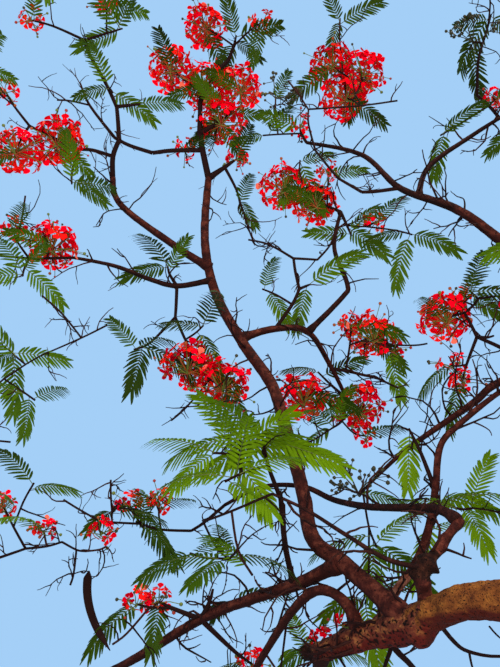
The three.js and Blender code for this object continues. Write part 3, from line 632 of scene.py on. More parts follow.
def rings(line, radii, sides):
    """Rings of points round a line, without twist, and the directions out to them."""
    along = np.gradient(line, axis=0)
    along /= np.linalg.norm(along, axis=1)[:, None]
    across = np.zeros_like(along)
    side = RING_SIDE
    for i, d in enumerate(along):
        side = unit(side - d * (side @ d))
        across[i] = side
    over = np.cross(along, across)
    a = 2 * np.pi * np.arange(sides) / sides
    out = across[:, None] * np.cos(a)[:, None] + over[:, None] * np.sin(a)[:, None]
    return line[:, None] + out * np.asarray(radii, float)[:, None, None], out


def tube(line, radii, sides):
    """Points and triangles of a round tube."""
    points, _ = rings(np.asarray(line, float), radii, sides)
    return points.reshape(-1, 3), grid_faces(len(line), sides)


def value_noise(x, y, wrap, seed):
    """Smooth noise from -1 to 1 over two coordinates, repeating after wrap steps of x."""
    table = np.random.default_rng(seed).uniform(-1, 1, (wrap, NOISE_ROWS))
    xi, yi = np.floor(x).astype(int), np.floor(y).astype(int)
    fx, fy = x - xi, y - yi
    fx, fy = fx * fx * (3 - 2 * fx), fy * fy * (3 - 2 * fy)
    x0, x1, y0, y1 = xi % wrap, (xi + 1) % wrap, yi % NOISE_ROWS, (yi + 1) % NOISE_ROWS
    low = table[x0, y0] * (1 - fx) + table[x1, y0] * fx
    high = table[x0, y1] * (1 - fx) + table[x1, y1] * fx
    return low * (1 - fy) + high * fy


# The bark's wrinkles: how many times more go round than the broadest, the step along and the height
WRINKLES = ((1, 62, 1.0), (2, 25, 0.6), (4, 12, 0.45))
WRINKLE_WIDTH = 34
PIT_ROUND = 3
PIT_STEP = 15
PIT_SEED = 5
PIT_FROM = 0.42
PIT_DEPTH = 3
LEAST_AROUND = 4


def bark_relief(s, sides, radius, depth, seed):
    """Height of the bark over a limb: broad swellings, wrinkles, and pits."""
    share = np.tile(np.arange(sides) / sides, (len(s), 1))
    along = np.repeat(s[:, None], sides, 1)
    around = max(LEAST_AROUND, int(round(2 * np.pi * radius / WRINKLE_WIDTH)))
    height = np.zeros((len(s), sides))
    for times, step, weight in WRINKLES:
        wrap = times * around
        height += weight * value_noise(share * wrap, along / step, wrap, seed + step)
    wrap = PIT_ROUND * around
    pits = value_noise(share * wrap, along / PIT_STEP, wrap, seed + PIT_SEED)
    return depth * (height - PIT_DEPTH * np.clip(pits - PIT_FROM, 0, 1))


def paint(code):
    """Linear colour of a six-digit colour code."""
    parts = [int(code[i:i + 2], 16) / 255 for i in (0, 2, 4)]
    return [c / 12.92 if c <= 0.04045 else ((c + 0.055) / 1.055) ** 2.4 for c in parts]


def plain(name, code, roughness=0.6, shine=0.3):
    """A material of one colour."""
    material = bpy.data.materials.new(name)
    material.use_nodes = True
    shader = material.node_tree.nodes["Principled BSDF"]
    shader.inputs["Base Color"].default_value = (*paint(code), 1)
    shader.inputs["Roughness"].default_value = roughness
    shader.inputs["Specular IOR Level"].default_value = shine
    return material


# Ways of the photograph, rounded: down in it, and out of it
DOWN = np.array([0.0, 0.82, -0.57])
NEAR = np.array([0.0, -0.57, -0.82])

# The bark's mottling, the painted shade on its lower side with its ragged border, and the pits' rims
BARK_ROUGHNESS = 0.85
BARK_SHINE = 0.1
TONE_STOPS = (0.36, 0.5, 0.66)
SHADED = DOWN + 0.3 * NEAR
SHADE_LIMITS = (0.0, 0.5)
SHADE_RAGGED = 0.5
SPOT_LIMITS = (0.62, 0.68)
BUMP_HEIGHT = 0.006


def bark(name, tones, scale, spots_scale, pits, bump):
    """Bark in three tones mottled by noise, with dark pits and a bump, and a redder painted shade on its
    lower side.

    The tones are the dark, the middle and the light one, the pits' and the painted shade's.
    """
    material = plain(name, tones[1], BARK_ROUGHNESS, BARK_SHINE)
    tree = material.node_tree
    colours = [(*paint(tone), 1) for tone in tones]

    def node(kind, values=None, **settings):
        """A shader node, with its settings and the values of its inputs."""
        made = tree.nodes.new(f"ShaderNode{kind}")
        for key, value in settings.items():
            setattr(made, key, value)
        for entry, value in (values or {}).items():
            made.inputs[entry].default_value = value
        return made

    place = node("TexCoord")
    mottle = node("TexNoise", {"Scale": scale, "Detail": 7, "Roughness": 0.7})
    ramp = node("ValToRGB")
    stops = ramp.color_ramp.elements
    stops[0].position, stops[1].position = TONE_STOPS[0], TONE_STOPS[2]
    stops[0].color, stops[1].color = colours[0], colours[2]
    stops.new(TONE_STOPS[1]).color = colours[1]

    # Painted shade: faces turned down and out are mixed toward the darker, redder shade tone
    facing = node("NewGeometry")
    turn = node("VectorMath", {1: unit(SHADED)}, operation="DOT_PRODUCT")
    ragged = node("Math", {1: SHADE_RAGGED}, operation="MULTIPLY_ADD")
    low, high = (limit + SHADE_RAGGED / 2 for limit in SHADE_LIMITS)
    shade = node("MapRange", {"From Min": low, "From Max": high})
    shaded = node("Mix", {"B": colours[4]}, data_type="RGBA")

    spots = node("TexNoise", {"Scale": spots_scale, "Detail": 2})
    low, high = (limit - pits for limit in SPOT_LIMITS)
    edge = node("MapRange", {"From Min": low, "From Max": high})
    mixed = node("Mix", {"B": colours[3]}, data_type="RGBA")
    lift = node("Bump", {"Strength": bump, "Distance": BUMP_HEIGHT}, invert=True)

    shader = tree.nodes["Principled BSDF"]
    for source, output, target, entry in (
            (place, "Object", mottle, "Vector"), (mottle, "Fac", ramp, "Fac"),
            (facing, "Normal", turn, 0), (mottle, "Fac", ragged, 0), (turn, "Value", ragged, 2),
            (ragged, "Value", shade, "Value"), (shade, "Result", shaded, "Factor"),
            (ramp, "Color", shaded, "A"), (place, "Object", spots, "Vector"),
            (spots, "Fac", edge, "Value"), (edge, "Result", mixed, "Factor"),
            (shaded, "Result", mixed, "A"), (mixed, "Result", shader, "Base Color"),
            (spots, "Fac", lift, "Height"), (lift, "Normal", shader, "Normal")):
        tree.links.new(source.outputs[output], target.inputs[entry])
    return material


OLD, LIMB, THIN, STUB, ROUGH, PALE = range(6)
# The last tone of each bark is its painted shade on the lower side
BARK = [
    bark("bark_old", ("48220f", "743f1a", "9c5f27", "1f0d08", "48170f"), 17, 170, 0.035, 0.8),
    bark("bark_limb", ("240d0a", "3f1711", "683224", "130705", "290c09"), 24, 110, 0.0, 0.5),
    bark("bark_thin", ("190a08", "290f0b", "431e17", "100605", "1a0907"), 30, 130, 0.0, 0.4),
    bark("bark_stub", ("160a07", "2a110a", "4f2a1b", "0b0403", "1c0a06"), 40, 160, 0.06, 0.9),
    bark("bark_rough", ("3a160e", "673021", "a86b37", "160805", "521610"), 20, 85, 0.07, 1.0),
    bark("bark_pale", ("5b2d1d", "814635", "a06850", "250f08", "6b3021"), 24, 120, 0.0, 0.5),
]
TWIG_BARK = [plain("twig_dark", "200b09", 0.8, 0.1), plain("twig_brown", "361812", 0.8, 0.1)]
POD_BARK = [plain("pod_brown", "24110d", 0.7, 0.05)]

# Greens of the sprays, from the brightest on; they differ at random from mass to mass, and their range from
# bright to the shaded one is partly painted light and painted shade; and then the leaves' stalks
SPRAY_GREENS = (("bright", "648406"), ("fresh", "4d6b08"), ("mid", "405b0a"), ("deep", "344a0a"),
                ("shaded", "293b0a"))
GREENS = [plain(f"leaf_{tone}", code, 0.6, 0.05) for tone, code in SPRAY_GREENS]
STALK_GREEN = len(GREENS)
GREENS.append(plain("leaf_stalk", "59622a"))

SCARLET, ORANGE, DEEP, PALE_PETAL, CALYX_GREEN, CALYX_RED, BUD_DARK, CALYX_ORANGE = range(8)
REDS = [
    plain("petal_scarlet", "ff031e", 0.7, 0.0),
    plain("petal_orange", "ff1a16", 0.7, 0.0),
    plain("petal_deep", "da0022", 0.7, 0.0),
    plain("petal_pale", "ff7058", 0.7, 0.0),
    plain("calyx_green", "66702a"),
    plain("calyx_red", "a3301f"),
    plain("bud_dark", "3b361c"),
    plain("calyx_orange", "a04a16"),
]


TRUNK_SIDES = 84
TRUNK_STEP = 16
TRUNK_RELIEF = 3.4
TRUNK_SEED = 11
SMOOTH_FOOT = 40
DOME_STEPS = np.array([0, 0.3, 0.6, 0.8, 0.95])


def trunk_mesh():
    """The trunk: lobed where the roots spread, leaning, and swollen under its fork."""
    z = np.concatenate([np.arange(0, FORK_HEIGHT, TRUNK_STEP), FORK_HEIGHT + DOME * DOME_STEPS])
    share = z / FORK_HEIGHT
    flare = FLARE * np.exp(-z / FLARE_HEIGHT)
    crotch = FORK_SWELL * np.maximum(0, share - CROTCH_FROM) * 2
    close = np.sqrt(1 - np.clip((z - FORK_HEIGHT) / DOME, 0, 1) ** 2)
    a = 2 * np.pi * np.arange(TRUNK_SIDES) / TRUNK_SIDES
    lobe = 1 + LOBE_DEPTH * np.cos(ROOT_LOBES * a + LOBE_TURN)
    r = (TRUNK_RADIUS - TRUNK_TAPER * share + crotch)[:, None] + flare[:, None] * lobe
    relief = bark_relief(z, TRUNK_SIDES, TRUNK_RADIUS, TRUNK_RELIEF, TRUNK_SEED)
    r = close[:, None] * (r + relief * np.clip(z / SMOOTH_FOOT, 0, 1)[:, None])
    x = r * np.cos(a) + (LEAN[0] * share)[:, None]
    y = r * np.sin(a) + (LEAN[1] * share)[:, None]
    points = np.stack([x, y, np.repeat(z[:, None], TRUNK_SIDES, 1)], 2)
    return points.reshape(-1, 3), grid_faces(len(z), TRUNK_SIDES)


# Burls: the place along the limb, the way out from it, the size, the height, and the radius of a
# ring-shaped one
BURLS = {
    "west_bough": [
        (0.775, DOWN + 0.4 * NEAR, 50, 46, 0), (0.735, NEAR - 0.4 * DOWN, 34, 14, 0),
        (0.769, NEAR - 0.8 * DOWN, 9, 15, 26), (0.769, NEAR - 0.8 * DOWN, 17, -12, 0),
        (0.81, DOWN, 44, 22, 0), (0.82, NEAR - DOWN, 34, 12, 0), (0.85, NEAR + DOWN, 32, 12, 0),
        (0.88, -DOWN, 36, 9, 0), (0.90, NEAR, 30, 9, 0), (0.95, DOWN, 30, 12, 0),
        (0.975, NEAR - DOWN, 22, 14, 0), (1, -DOWN, 24, 18, 0), (0.5, NEAR, 90, 8, 0),
        (0.33, DOWN, 100, 12, 0)],
    "knob_limb": [
        (0.3, NEAR, 24, 22, 0), (0.36, -RIGHT, 24, 30, 0), (0.42, RIGHT, 24, 22, 0),
        (0.5, NEAR + DOWN, 24, 20, 0), (0.46, -RIGHT - DOWN, 20, 18, 0), (0.14, RIGHT, 22, 8, 0),
        (0.66, RIGHT, 18, 8, 0), (0.8, -RIGHT, 18, 7, 0), (0.93, RIGHT, 22, 10, 0)],
    "main_limb": [(0.05, RIGHT, 40, 8, 0), (0.13, -RIGHT, 34, 7, 0), (0.36, RIGHT, 30, 6, 0)],
    "pale_limb": [(0.1, RIGHT, 26, 6, 0), (0.38, NEAR, 26, 6, 0)],
}

# How finely a limb is made: its step, its sides and its relief's depth, by its name or else by the
# radius that its root is above
BY_NAME = {"west_bough": (10, 48, 4.2), "knob_limb": (10, 30, 4.2)}
BY_RADIUS = ((60, (24, 30, 2.6)), (28, (15, 20, 1.4)), (0, (15, 14, 1.4)))
LIMB_BENDS = 12
LIMB_SEED = 101
FULL_RELIEF = 30

# The swelling where a limb comes through the bark of what carries it
SKIN = {"trunk": 190, "west_bough": 60}
THIN_SKIN = 26
SWELL = 0.25
SWELL_LENGTH = 1.2

# The long bough's broken end, with its splinters
STUB_FROM = 0.92
STUB_NARROWS = 0.5
SPLINTER = 15
SPLINTER_ROWS = 3


def limb_mesh(name, seed):
    """A limb with its bark's relief, its burls, and a swelling where it leaves its carrier."""
    carrier, route, (root, _), _ = LIMBS[name]
    step, sides, depth = BY_NAME.get(name) or next(made for least, made in BY_RADIUS if root > least)
    curve = bend(route, LIMB_BENDS)
    s = lengths(curve)
    at = np.linspace(0, s[-1], int(s[-1] / step) + 2)
    line = np.stack([np.interp(at, s, curve[:, i]) for i in range(3)], 1)
    radii = limb_radii(name, line)
    skin = SKIN.get(carrier, THIN_SKIN)
    radii *= 1 + SWELL * np.exp(-((at - skin) / (SWELL_LENGTH * root)) ** 2)
    if name == "west_bough":
        radii *= 1 - STUB_NARROWS * np.clip((at / s[-1] - STUB_FROM) / (1 - STUB_FROM), 0, 1)
    points, out = rings(line, radii, sides)
    relief = bark_relief(at, sides, radii.mean(), depth, seed)
    relief *= np.minimum(1, radii / FULL_RELIEF)[:, None]
    for place, way, size, height, ring in BURLS.get(name, []):
        i = int(place * (len(at) - 1))
        middle = line[i] + unit(way) * radii[i]
        relief += height * np.exp(-((np.linalg.norm(points - middle, axis=2) - ring) / size) ** 2)
    points += out * relief[..., None]
    if name == "west_bough":
        splinters = np.random.default_rng(seed).uniform(-SPLINTER, SPLINTER, (SPLINTER_ROWS, sides))
        points[-SPLINTER_ROWS:] += unit(line[-1] - line[-3]) * splinters[..., None]
    return points.reshape(-1, 3), grid_faces(len(at), sides), line


# The least radius at the root of a limb with old bark, and with a limb's bark
OLD_FROM = 60
LIMB_FROM = 20

# Heights at which the high bough's bark changes, and up to which the pale limb's is pale
HIGH_BOUGH_BARK = ((3800, LIMB), (4900, THIN))
PALE_UNDER = 3350

# The rough part of the long bough, from a share of its length, and its dark scars and the knob's: the
# place, the way out and the radius
ROUGH_FROM = 0.765
ROUGH_RAGGED = 0.03
ROUGH_GRAIN = 25
ROUGH_WRAP = 64
ROUGH_SEED = 3
LINE_STRIDE = 4
SCARS = [(0.769, NEAR - 0.8 * DOWN, 29), (0.79, NEAR - 0.5 * DOWN, 17), (0.86, NEAR, 15),
         (0.835, NEAR + DOWN, 12), (0.91, NEAR - DOWN, 12), (1, NEAR, 58)]
KNOB_SCAR = (0.42, 70)


def bark_piece():
    """The trunk and all the limbs as one mesh."""
    pile = Pile()
    pile.add(*trunk_mesh(), OLD)
    for index, name in enumerate(LIMBS):
        points, faces, line = limb_mesh(name, LIMB_SEED * index)
        root = LIMBS[name][2][0]
        paints = np.full(len(faces), OLD if root > OLD_FROM else LIMB if root > LIMB_FROM else THIN)
        centres = points[faces].mean(1)
        if name == "high_bough":
            for height, bark_paint in HIGH_BOUGH_BARK:
                paints[centres[:, 2] > height] = bark_paint
        if name == "west_bough":
            coarse = line[::LINE_STRIDE]
            nearest = np.linalg.norm(centres[:, None] - coarse, axis=2).argmin(1)
            x, z = centres[:, 0] / ROUGH_GRAIN, centres[:, 2] / ROUGH_GRAIN
            ragged = ROUGH_RAGGED * value_noise(x, z, ROUGH_WRAP, ROUGH_SEED)
            paints[nearest * LINE_STRIDE / len(line) + ragged > ROUGH_FROM] = ROUGH
            for place, way, radius in SCARS:
                i = int(place * (len(line) - 1))
                scar = line[i] + unit(way) * limb_radii(name, line)[i]
                paints[np.linalg.norm(centres - scar, axis=1) < radius] = STUB
        if name == "knob_limb":
            place, radius = KNOB_SCAR
            scar = line[int(place * len(line))]
            paints[np.linalg.norm(centres - scar, axis=1) < radius] = STUB
        if name == "pale_limb":
            paints[centres[:, 2] < PALE_UNDER] = PALE
        pile.add(points, faces, paints)
    pile.piece("bark", BARK, "bark", ["trunk", *LIMBS])


# Feathery leaves: fronds in pairs along a stalk, in shares of the leaf's length. The steps and the
# shape are a frond's, for the masses in the photograph and for the far ones.
PINNA_PAIRS = 14
FAR_PAIRS = 12
PINNA_PLACES = (0.12, 0.96)
PINNA_REACH = 0.27
PINNA_FULLNESS = (0.62, 1.0)
PINNA_ARC = (0.1, 0.92)
PINNA_SIZE = (0.88, 1.08)
PINNA_HALF = 0.3
PINNA_ANGLES = (60, 24)
PINNA_SPREAD = 5
PINNA_CURL = (0.05, 0.2)
PINNA_SAG = 0.32
PINNA_STEPS = np.array([0, 0.3, 0.72, 1.0])
PINNA_SHAPE = np.array([0.55, 1.0, 0.95, 0.3])
FAR_STEPS = np.array([0, 0.5, 1.0])
FAR_SHAPE = np.array([0.6, 1.15, 0.4])
MIDRIB = np.outer(np.linspace(0, 0.98, 4), [1, 0, 0])
MIDRIB_RADII = np.linspace(0.0085, 0.003, len(MIDRIB))
FROND, STALK = range(2)


def leaf_template(seed, pairs, s, shape):
    """A feathery leaf along +X, one unit long: a stalk with pairs of narrow side fronds."""
    rng = np.random.default_rng(seed)
    leaf = Pile()
    half = PINNA_HALF / pairs * shape
    for share in np.arange(pairs) / (pairs - 1):
        reach = PINNA_REACH * between(PINNA_FULLNESS, math.sin(math.pi * between(PINNA_ARC, share)))
        for hand in (1, -1):
            angle = math.radians(between(PINNA_ANGLES, share) + rng.uniform(-PINNA_SPREAD, PINNA_SPREAD))
            length = reach * rng.uniform(*PINNA_SIZE)
            ahead = np.array([math.cos(angle), hand * math.sin(angle)])
            across = np.array([-ahead[1], ahead[0]])
            spine = np.array([between(PINNA_PLACES, share), 0]) + ahead * (s * length)[:, None]
            spine[:, 0] += rng.uniform(*PINNA_CURL) * length * s ** 2
            drop = -PINNA_SAG * length * s ** 2
            rims = [np.column_stack([spine + across * (edge * half)[:, None], drop]) for edge in (-1, 1)]
            leaf.add(np.concatenate(rims), sheet_faces(2, len(s)), FROND)
    leaf.add(*tube(MIDRIB, MIDRIB_RADII, 3), STALK)
    return leaf.merged()


def place_leaf(pile, template, blade, bulge, green):
    """Lays a template along a blade, arched between its root and its tip."""
    points, faces, parts = template
    span = blade["tip"] - blade["root"]
    length = np.linalg.norm(span)
    out = span / length
    side = unit(blade["side"] - out * (blade["side"] @ out))
    x, y, z = points.T
    rise = z + bulge * 4 * x * (1 - x)
    placed = out * x[:, None] + side * y[:, None] + np.cross(out, side) * rise[:, None]
    pile.add(blade["root"] + length * placed, faces, np.where(parts == FROND, green, STALK_GREEN))


# Flowers, in millimetres and degrees: petals by four steps from the claw to the tip, one of them
# upright, and sepals and stamens between them
PETALS = 5
PETAL_REACH = np.array([3, 20, 40, 56])
PETAL_HALF = np.array([2.5, 7, 25, 17])
PETAL_RISE = np.array([0, 8, 11, 2])
PETAL_TURN = 0.14
PETAL_SIZE = (0.88, 1.1)
PETAL_TIP_RISE = (-10, 8)
PETAL_RUFFLE = 3
PETAL_EDGE_DROP = np.array([0, 2, 5, 5])
UPRIGHT_RISE = np.array([0, 13, 26, 36])
UPRIGHT_SIZE = 0.8
SEPAL = 22
SEPAL_HALF = 4.5
SEPAL_DROPS = (3, 2, 6)
SEPAL_TURN = 36
STAMEN = (16, 42)
STAMEN_HALF = 1.1
STAMEN_SPREAD = 5
STAMEN_TURN = 15


def flower_template(seed):
    """A flower that opens along +Z: five clawed petals, five sepals and stamens."""
    rng = np.random.default_rng(seed)
    flower = Pile()
    steps = len(PETAL_REACH)
    for k in range(PETALS):
        turn = math.degrees(2 * math.pi * k / PETALS + rng.uniform(-PETAL_TURN, PETAL_TURN))
        out = compass(turn)
        side = np.cross(UP, out)
        size = rng.uniform(*PETAL_SIZE)
        upright = k == 0
        reach = PETAL_REACH * size * (UPRIGHT_SIZE if upright else 1)
        high = UPRIGHT_RISE if upright else PETAL_RISE + np.array([0, 0, 0, rng.uniform(*PETAL_TIP_RISE)])
        rows = []
        for edge in (-1, 0, 1):
            lift = rng.uniform(-PETAL_RUFFLE, PETAL_RUFFLE, steps) - PETAL_EDGE_DROP if edge else 0
            half = edge * PETAL_HALF * size
            rows.append(out * reach[:, None] + side * half[:, None] + UP * (high + lift)[:, None])
        flower.add(np.concatenate(rows), sheet_faces(3, steps), PALE_PETAL if upright else SCARLET)
        tip = compass(turn + SEPAL_TURN) * SEPAL
        cross = np.cross(UP, tip) / SEPAL * SEPAL_HALF
        root_drop, drop, tip_drop = (UP * drop for drop in SEPAL_DROPS)
        corners = [-root_drop, tip / 2 + cross - drop, tip - tip_drop, tip / 2 - cross - drop]
        flower.add(corners, [(0, 1, 2), (0, 2, 3)], CALYX_GREEN)
        stamen = compass(turn + STAMEN_TURN)
        cross = np.cross(UP, stamen) * STAMEN_HALF
        height = STAMEN[1] + rng.uniform(-STAMEN_SPREAD, STAMEN_SPREAD)
        flower.add([cross, -cross, stamen * STAMEN[0] + UP * height], [(0, 1, 2)], CALYX_RED)
    return flower.merged()


def bud_template():
    """A round bud of twenty faces, one millimetre in radius."""
    golden = (1 + math.sqrt(5)) / 2
    corners = [np.roll((0, a, b * golden), k) for k in range(3) for a in (1, -1) for b in (1, -1)]
    corners = np.array(corners, float)
    faces = []
    for trio in itertools.combinations(range(len(corners)), 3):
        p, q, r = corners[list(trio)]
        # The sides of a face are 2 long, and all other distances are over 3
        if max(np.linalg.norm(p - q), np.linalg.norm(q - r), np.linalg.norm(r - p)) < 3:
            faces.append(trio if np.cross(p, q) @ r > 0 else trio[::-1])
    return corners / np.linalg.norm(corners[0]), np.array(faces)


LEAF_SORTS = 5
FLOWER_SORTS = 6
LEAF_KINDS = [leaf_template(seed, PINNA_PAIRS, PINNA_STEPS, PINNA_SHAPE) for seed in range(LEAF_SORTS)]
FAR_LEAF_KINDS = [leaf_template(seed, FAR_PAIRS, FAR_STEPS, FAR_SHAPE) for seed in range(LEAF_SORTS)]
FLOWERS = [flower_template(seed) for seed in range(FLOWER_SORTS)]
BUD, BUD_FACES = bud_template()
SPIN_SIDE = np.array([0.3, 0.9, 0.2])
WHOLE_SPIN = 6.28


def turned(points, axis, spin):
    """Points whose +Z is turned to an axis, after a spin about it."""
    side = unit(np.cross(SPIN_SIDE, axis))
    over = np.cross(axis, side)
    c, s = math.cos(spin), math.sin(spin)
    x, y = points[:, 0] * c - points[:, 1] * s, points[:, 0] * s + points[:, 1] * c
    return side * x[:, None] + over * y[:, None] + axis * points[:, 2][:, None]


def stray(rng, reach):
    """A random step of up to a reach each way."""
    return reach * rng.uniform(-1, 1, 3)


def stalk(pile, line, radii, paint_index, sides=3):
    """A thin stalk through a few points."""
    pile.add(*tube(line, radii, sides), paint_index)


# Heads of flowers: how many flowers, their paints, sizes and places on the dome, their stalks, and
# the buds round the rim. A posy is a smaller head.
FLOWERS_PER_BLOOM = 25
FLOWERS_FAR = 17
FLOWERS_LEAST = 5
FLOWER_SIZE = (0.74, 1.0)
FLOWER_INSET = 0.7
FLOWER_REACH = (0.75, 1.12)
FLOWER_TURN = 0.5
FLOWER_LIFT = 0.2
FLOWER_STRAY = 0.3
MOSTLY_SCARLET = (SCARLET, SCARLET, SCARLET, ORANGE, DEEP)
PALE_SHARE = 0.14
POSY_THINS = 1.5
POSY_FLOWERS = 0.78
BLOOM_POLAR = 1.45
BLOOM_FLAT = np.array([1, 1, 0.72])
STALK_RADII = (3.2, 2.4, 2.2)
STALK_FROM = (0.3, 0.5)
STALK_SAG = 10
STALK_EVERY = 3
STALK_PAINTS = (CALYX_GREEN, CALYX_GREEN, CALYX_RED, CALYX_ORANGE)
RIM_BUDS = (3, 8)
RIM_RISE = (-0.5, 0.4)
RIM_REACH = (0.75, 1.25)
RIM_FROM = 0.2
RIM_PAINTS = (CALYX_GREEN, CALYX_RED, BUD_DARK, CALYX_ORANGE)
BUD_RADIUS = (7, 11)


def bloom(pile, at, radius, rng, full):
    """A head of flowers: a dome that is closely set, on branching stalks, with buds round its rim."""
    share = (radius / BLOOM_RADIUS["bloom"]) ** 2
    flowers = max(FLOWERS_LEAST, int(round(full * share ** POSY_THINS)))
    red = rng.choice(MOSTLY_SCARLET)
    spread = radius - PETAL_REACH[-1] * FLOWER_INSET
    size = 1 if radius == BLOOM_RADIUS["bloom"] else POSY_FLOWERS
    for k in range(flowers):
        polar = math.acos(1 - BLOOM_POLAR * (k + 0.5) / flowers)
        turn = k * GOLDEN + rng.uniform(0, FLOWER_TURN)
        level = math.sin(polar)
        way = np.array([level * math.cos(turn), level * math.sin(turn), math.cos(polar)])
        base = at + way * spread * rng.uniform(*FLOWER_REACH) * BLOOM_FLAT
        face = unit(way + FLOWER_LIFT * UP + stray(rng, FLOWER_STRAY))
        points, faces, paints = FLOWERS[rng.integers(len(FLOWERS))]
        painted = np.where(paints == SCARLET, rng.choice((red, red, red, SCARLET, ORANGE)), paints)
        if rng.random() > PALE_SHARE:
            painted = np.where(painted == PALE_PETAL, red, painted)
        flower = turned(points, face, rng.uniform(0, WHOLE_SPIN)) * size * rng.uniform(*FLOWER_SIZE)
        pile.add(base + flower, faces, painted)
        if full == FLOWERS_PER_BLOOM or k % STALK_EVERY == 0:
            low = at - UP * rng.uniform(*STALK_FROM) * radius
            line = [low, (low + base) / 2 - UP * STALK_SAG, base]
            stalk(pile, line, STALK_RADII, rng.choice(STALK_PAINTS))
    least, more = RIM_BUDS
    for _ in range(least + int(more * share)):
        way = unit(compass(rng.uniform(0, 360)) + UP * rng.uniform(*RIM_RISE))
        tip = at + way * radius * rng.uniform(*RIM_REACH)
        pile.add(tip + BUD * rng.uniform(*BUD_RADIUS), BUD_FACES, rng.choice(RIM_PAINTS))
        stalk(pile, [at - UP * RIM_FROM * radius, (at + tip) / 2, tip], STALK_RADII, CALYX_GREEN)


# Sprays of dark buds: how many forks, their stray, length and radii, and the same for their tips
SPRAY_FORKS = (7, 1.2, (60, 150), (4, 3.4, 3))
SPRAY_TIPS = (6, 0.9, (28, 72), (2.6, 2.2, 2))
SPRAY_BOW = 8
SPRAY_BUD = (8, 13)


def bud_spray(pile, at, rng):
    """Branching stalks that end in dark round buds."""
    forks, fork_stray, fork_length, fork_radii = SPRAY_FORKS
    tips, tip_stray, tip_length, tip_radii = SPRAY_TIPS
    for _ in range(forks):
        way = unit(UP + stray(rng, fork_stray))
        fork = at + way * rng.uniform(*fork_length)
        stalk(pile, [at, (at + fork) / 2 + stray(rng, SPRAY_BOW), fork], fork_radii, BUD_DARK, 4)
        for _ in range(tips):
            tip = fork + unit(way + stray(rng, tip_stray)) * rng.uniform(*tip_length)
            stalk(pile, [fork, (fork + tip) / 2, tip], tip_radii, BUD_DARK)
            pile.add(tip + BUD * rng.uniform(*SPRAY_BUD), BUD_FACES, BUD_DARK)


DARK, BROWN = range(2)
MOSTLY_DARK = (DARK, DARK, BROWN)
TWIG_JOINTS = 6
TWIG_WANDER = 0.3
TWIG_CURL = 0.24
TWIG_THINS = 0.45
FORK_SHARE = 0.5
FORK_STRAY = 1.3
FORK_LENGTH = (0.35, 0.6)
FORK_RADIUS = 0.7


def bare_twig(pile, start, way, length, radius, rng, forks):
    """A crooked, curling bare twig that may fork."""
    line = [start]
    heading = unit(way)
    curl = stray(rng, TWIG_CURL)
    for _ in range(TWIG_JOINTS):
        heading = unit(heading + curl + stray(rng, TWIG_WANDER))
        line.append(line[-1] + heading * length / TWIG_JOINTS)
    radii = np.linspace(radius, TWIG_THINS * radius, TWIG_JOINTS + 1)
    stalk(pile, line, radii, rng.choice(MOSTLY_DARK), 4)
    if forks:
        for joint in line[2:TWIG_JOINTS]:
            if rng.random() < FORK_SHARE:
                side = unit(heading + stray(rng, FORK_STRAY))
                side_length = rng.uniform(*FORK_LENGTH) * length
                bare_twig(pile, joint, side, side_length, FORK_RADIUS * radius, rng, forks - 1)


# The pod's ends and neck (a share and how fast it grows), its narrowing, and its seeds' swellings
POD_ROWS = 40
POD_SIDES = 12
POD_HEAD = (0.16, 9)
POD_END = (0.14, 5)
POD_NECK = (0.3, 6)
POD_NARROWS = 0.12
POD_SEEDS = 15
POD_SWELLS = 0.25
POD_ABOVE = 6


def pod_mesh(at):
    """A flat woody pod with swellings over its seeds, hanging and slightly curved."""
    t = np.linspace(0, 1, POD_ROWS)[:, None]
    a = 2 * np.pi * np.arange(POD_SIDES) / POD_SIDES
    head = POD_HEAD[0] + POD_HEAD[1] * t
    end = POD_END[0] + POD_END[1] * (1 - t)
    width = POD_WIDTH / 2 * np.minimum(1, np.minimum(head, end)) * (1 - POD_NARROWS * t)
    thick = POD_THICK / 2 * (1 + POD_SWELLS * np.sin(2 * np.pi * POD_SEEDS * t))
    thick = thick * np.minimum(1, POD_NECK[0] + POD_NECK[1] * t)
    x = POD_CURVE * t ** 2 + width * np.cos(a)
    y = thick * np.sin(a)
    z = np.repeat(POD_ABOVE - POD_LENGTH * t, POD_SIDES, 1)
    points = at + np.stack([x, y, z], 2)
    return points[::-1].reshape(-1, 3), grid_faces(POD_ROWS, POD_SIDES)


BOX_LOW, BOX_HIGH = np.array(CAD_BOX[0]) / MM, np.array(CAD_BOX[1]) / MM


def inside(p):
    """Whether a point lies in the box of the solids."""
    return (p > BOX_LOW).all() and (p < BOX_HIGH).all()


# How far outside the photograph, in pixels, a place still counts as shown
VIEW_MARGIN = 60


def in_view(p):
    """Whether a point shows in the photograph or is just outside it."""
    away = p * MM - np.array(EYE)
    depth = away @ AHEAD
    across, up = FOCAL * away[0] / depth, FOCAL * (away @ UPWARD) / depth
    return depth > 0 and abs(across) < PHOTO[0] / 2 + VIEW_MARGIN and abs(up) < PHOTO[1] / 2 + VIEW_MARGIN


FINE_SPANS = 3
FINE_SAG = 0.12
FINE_STRAY = 30
FINE_THINS = 0.6
FINE_LEAVE = 0.8


def finer_twig(name, start, at, rng):
    """A bowed twig with a head of its own, or None if it would touch something."""
    span = np.linalg.norm(at - start)
    bow = (start + at) / 2 - UP * FINE_SAG * span + stray(rng, FINE_STRAY)
    t = np.arange(FINE_SPANS + 1)[:, None] / FINE_SPANS
    line = start * (1 - t) ** 2 + bow * 2 * t * (1 - t) + at * t ** 2
    rooms = [FINE_CLEAR] * FINE_SPANS
    if in_view(at) or not inside(at) or obstacles.block_any((name, MASSES[name][0]), line, rooms):
        return None
    kind = "posy" if rng.random() < FINE_BLOOM_SHARE else "leaf"
    radii = np.linspace(TWIG_TIP, FINE_THINS * TWIG_TIP, len(line))
    return {"line": line, "radii": radii, "kind": kind, "at": at, "fine": True}


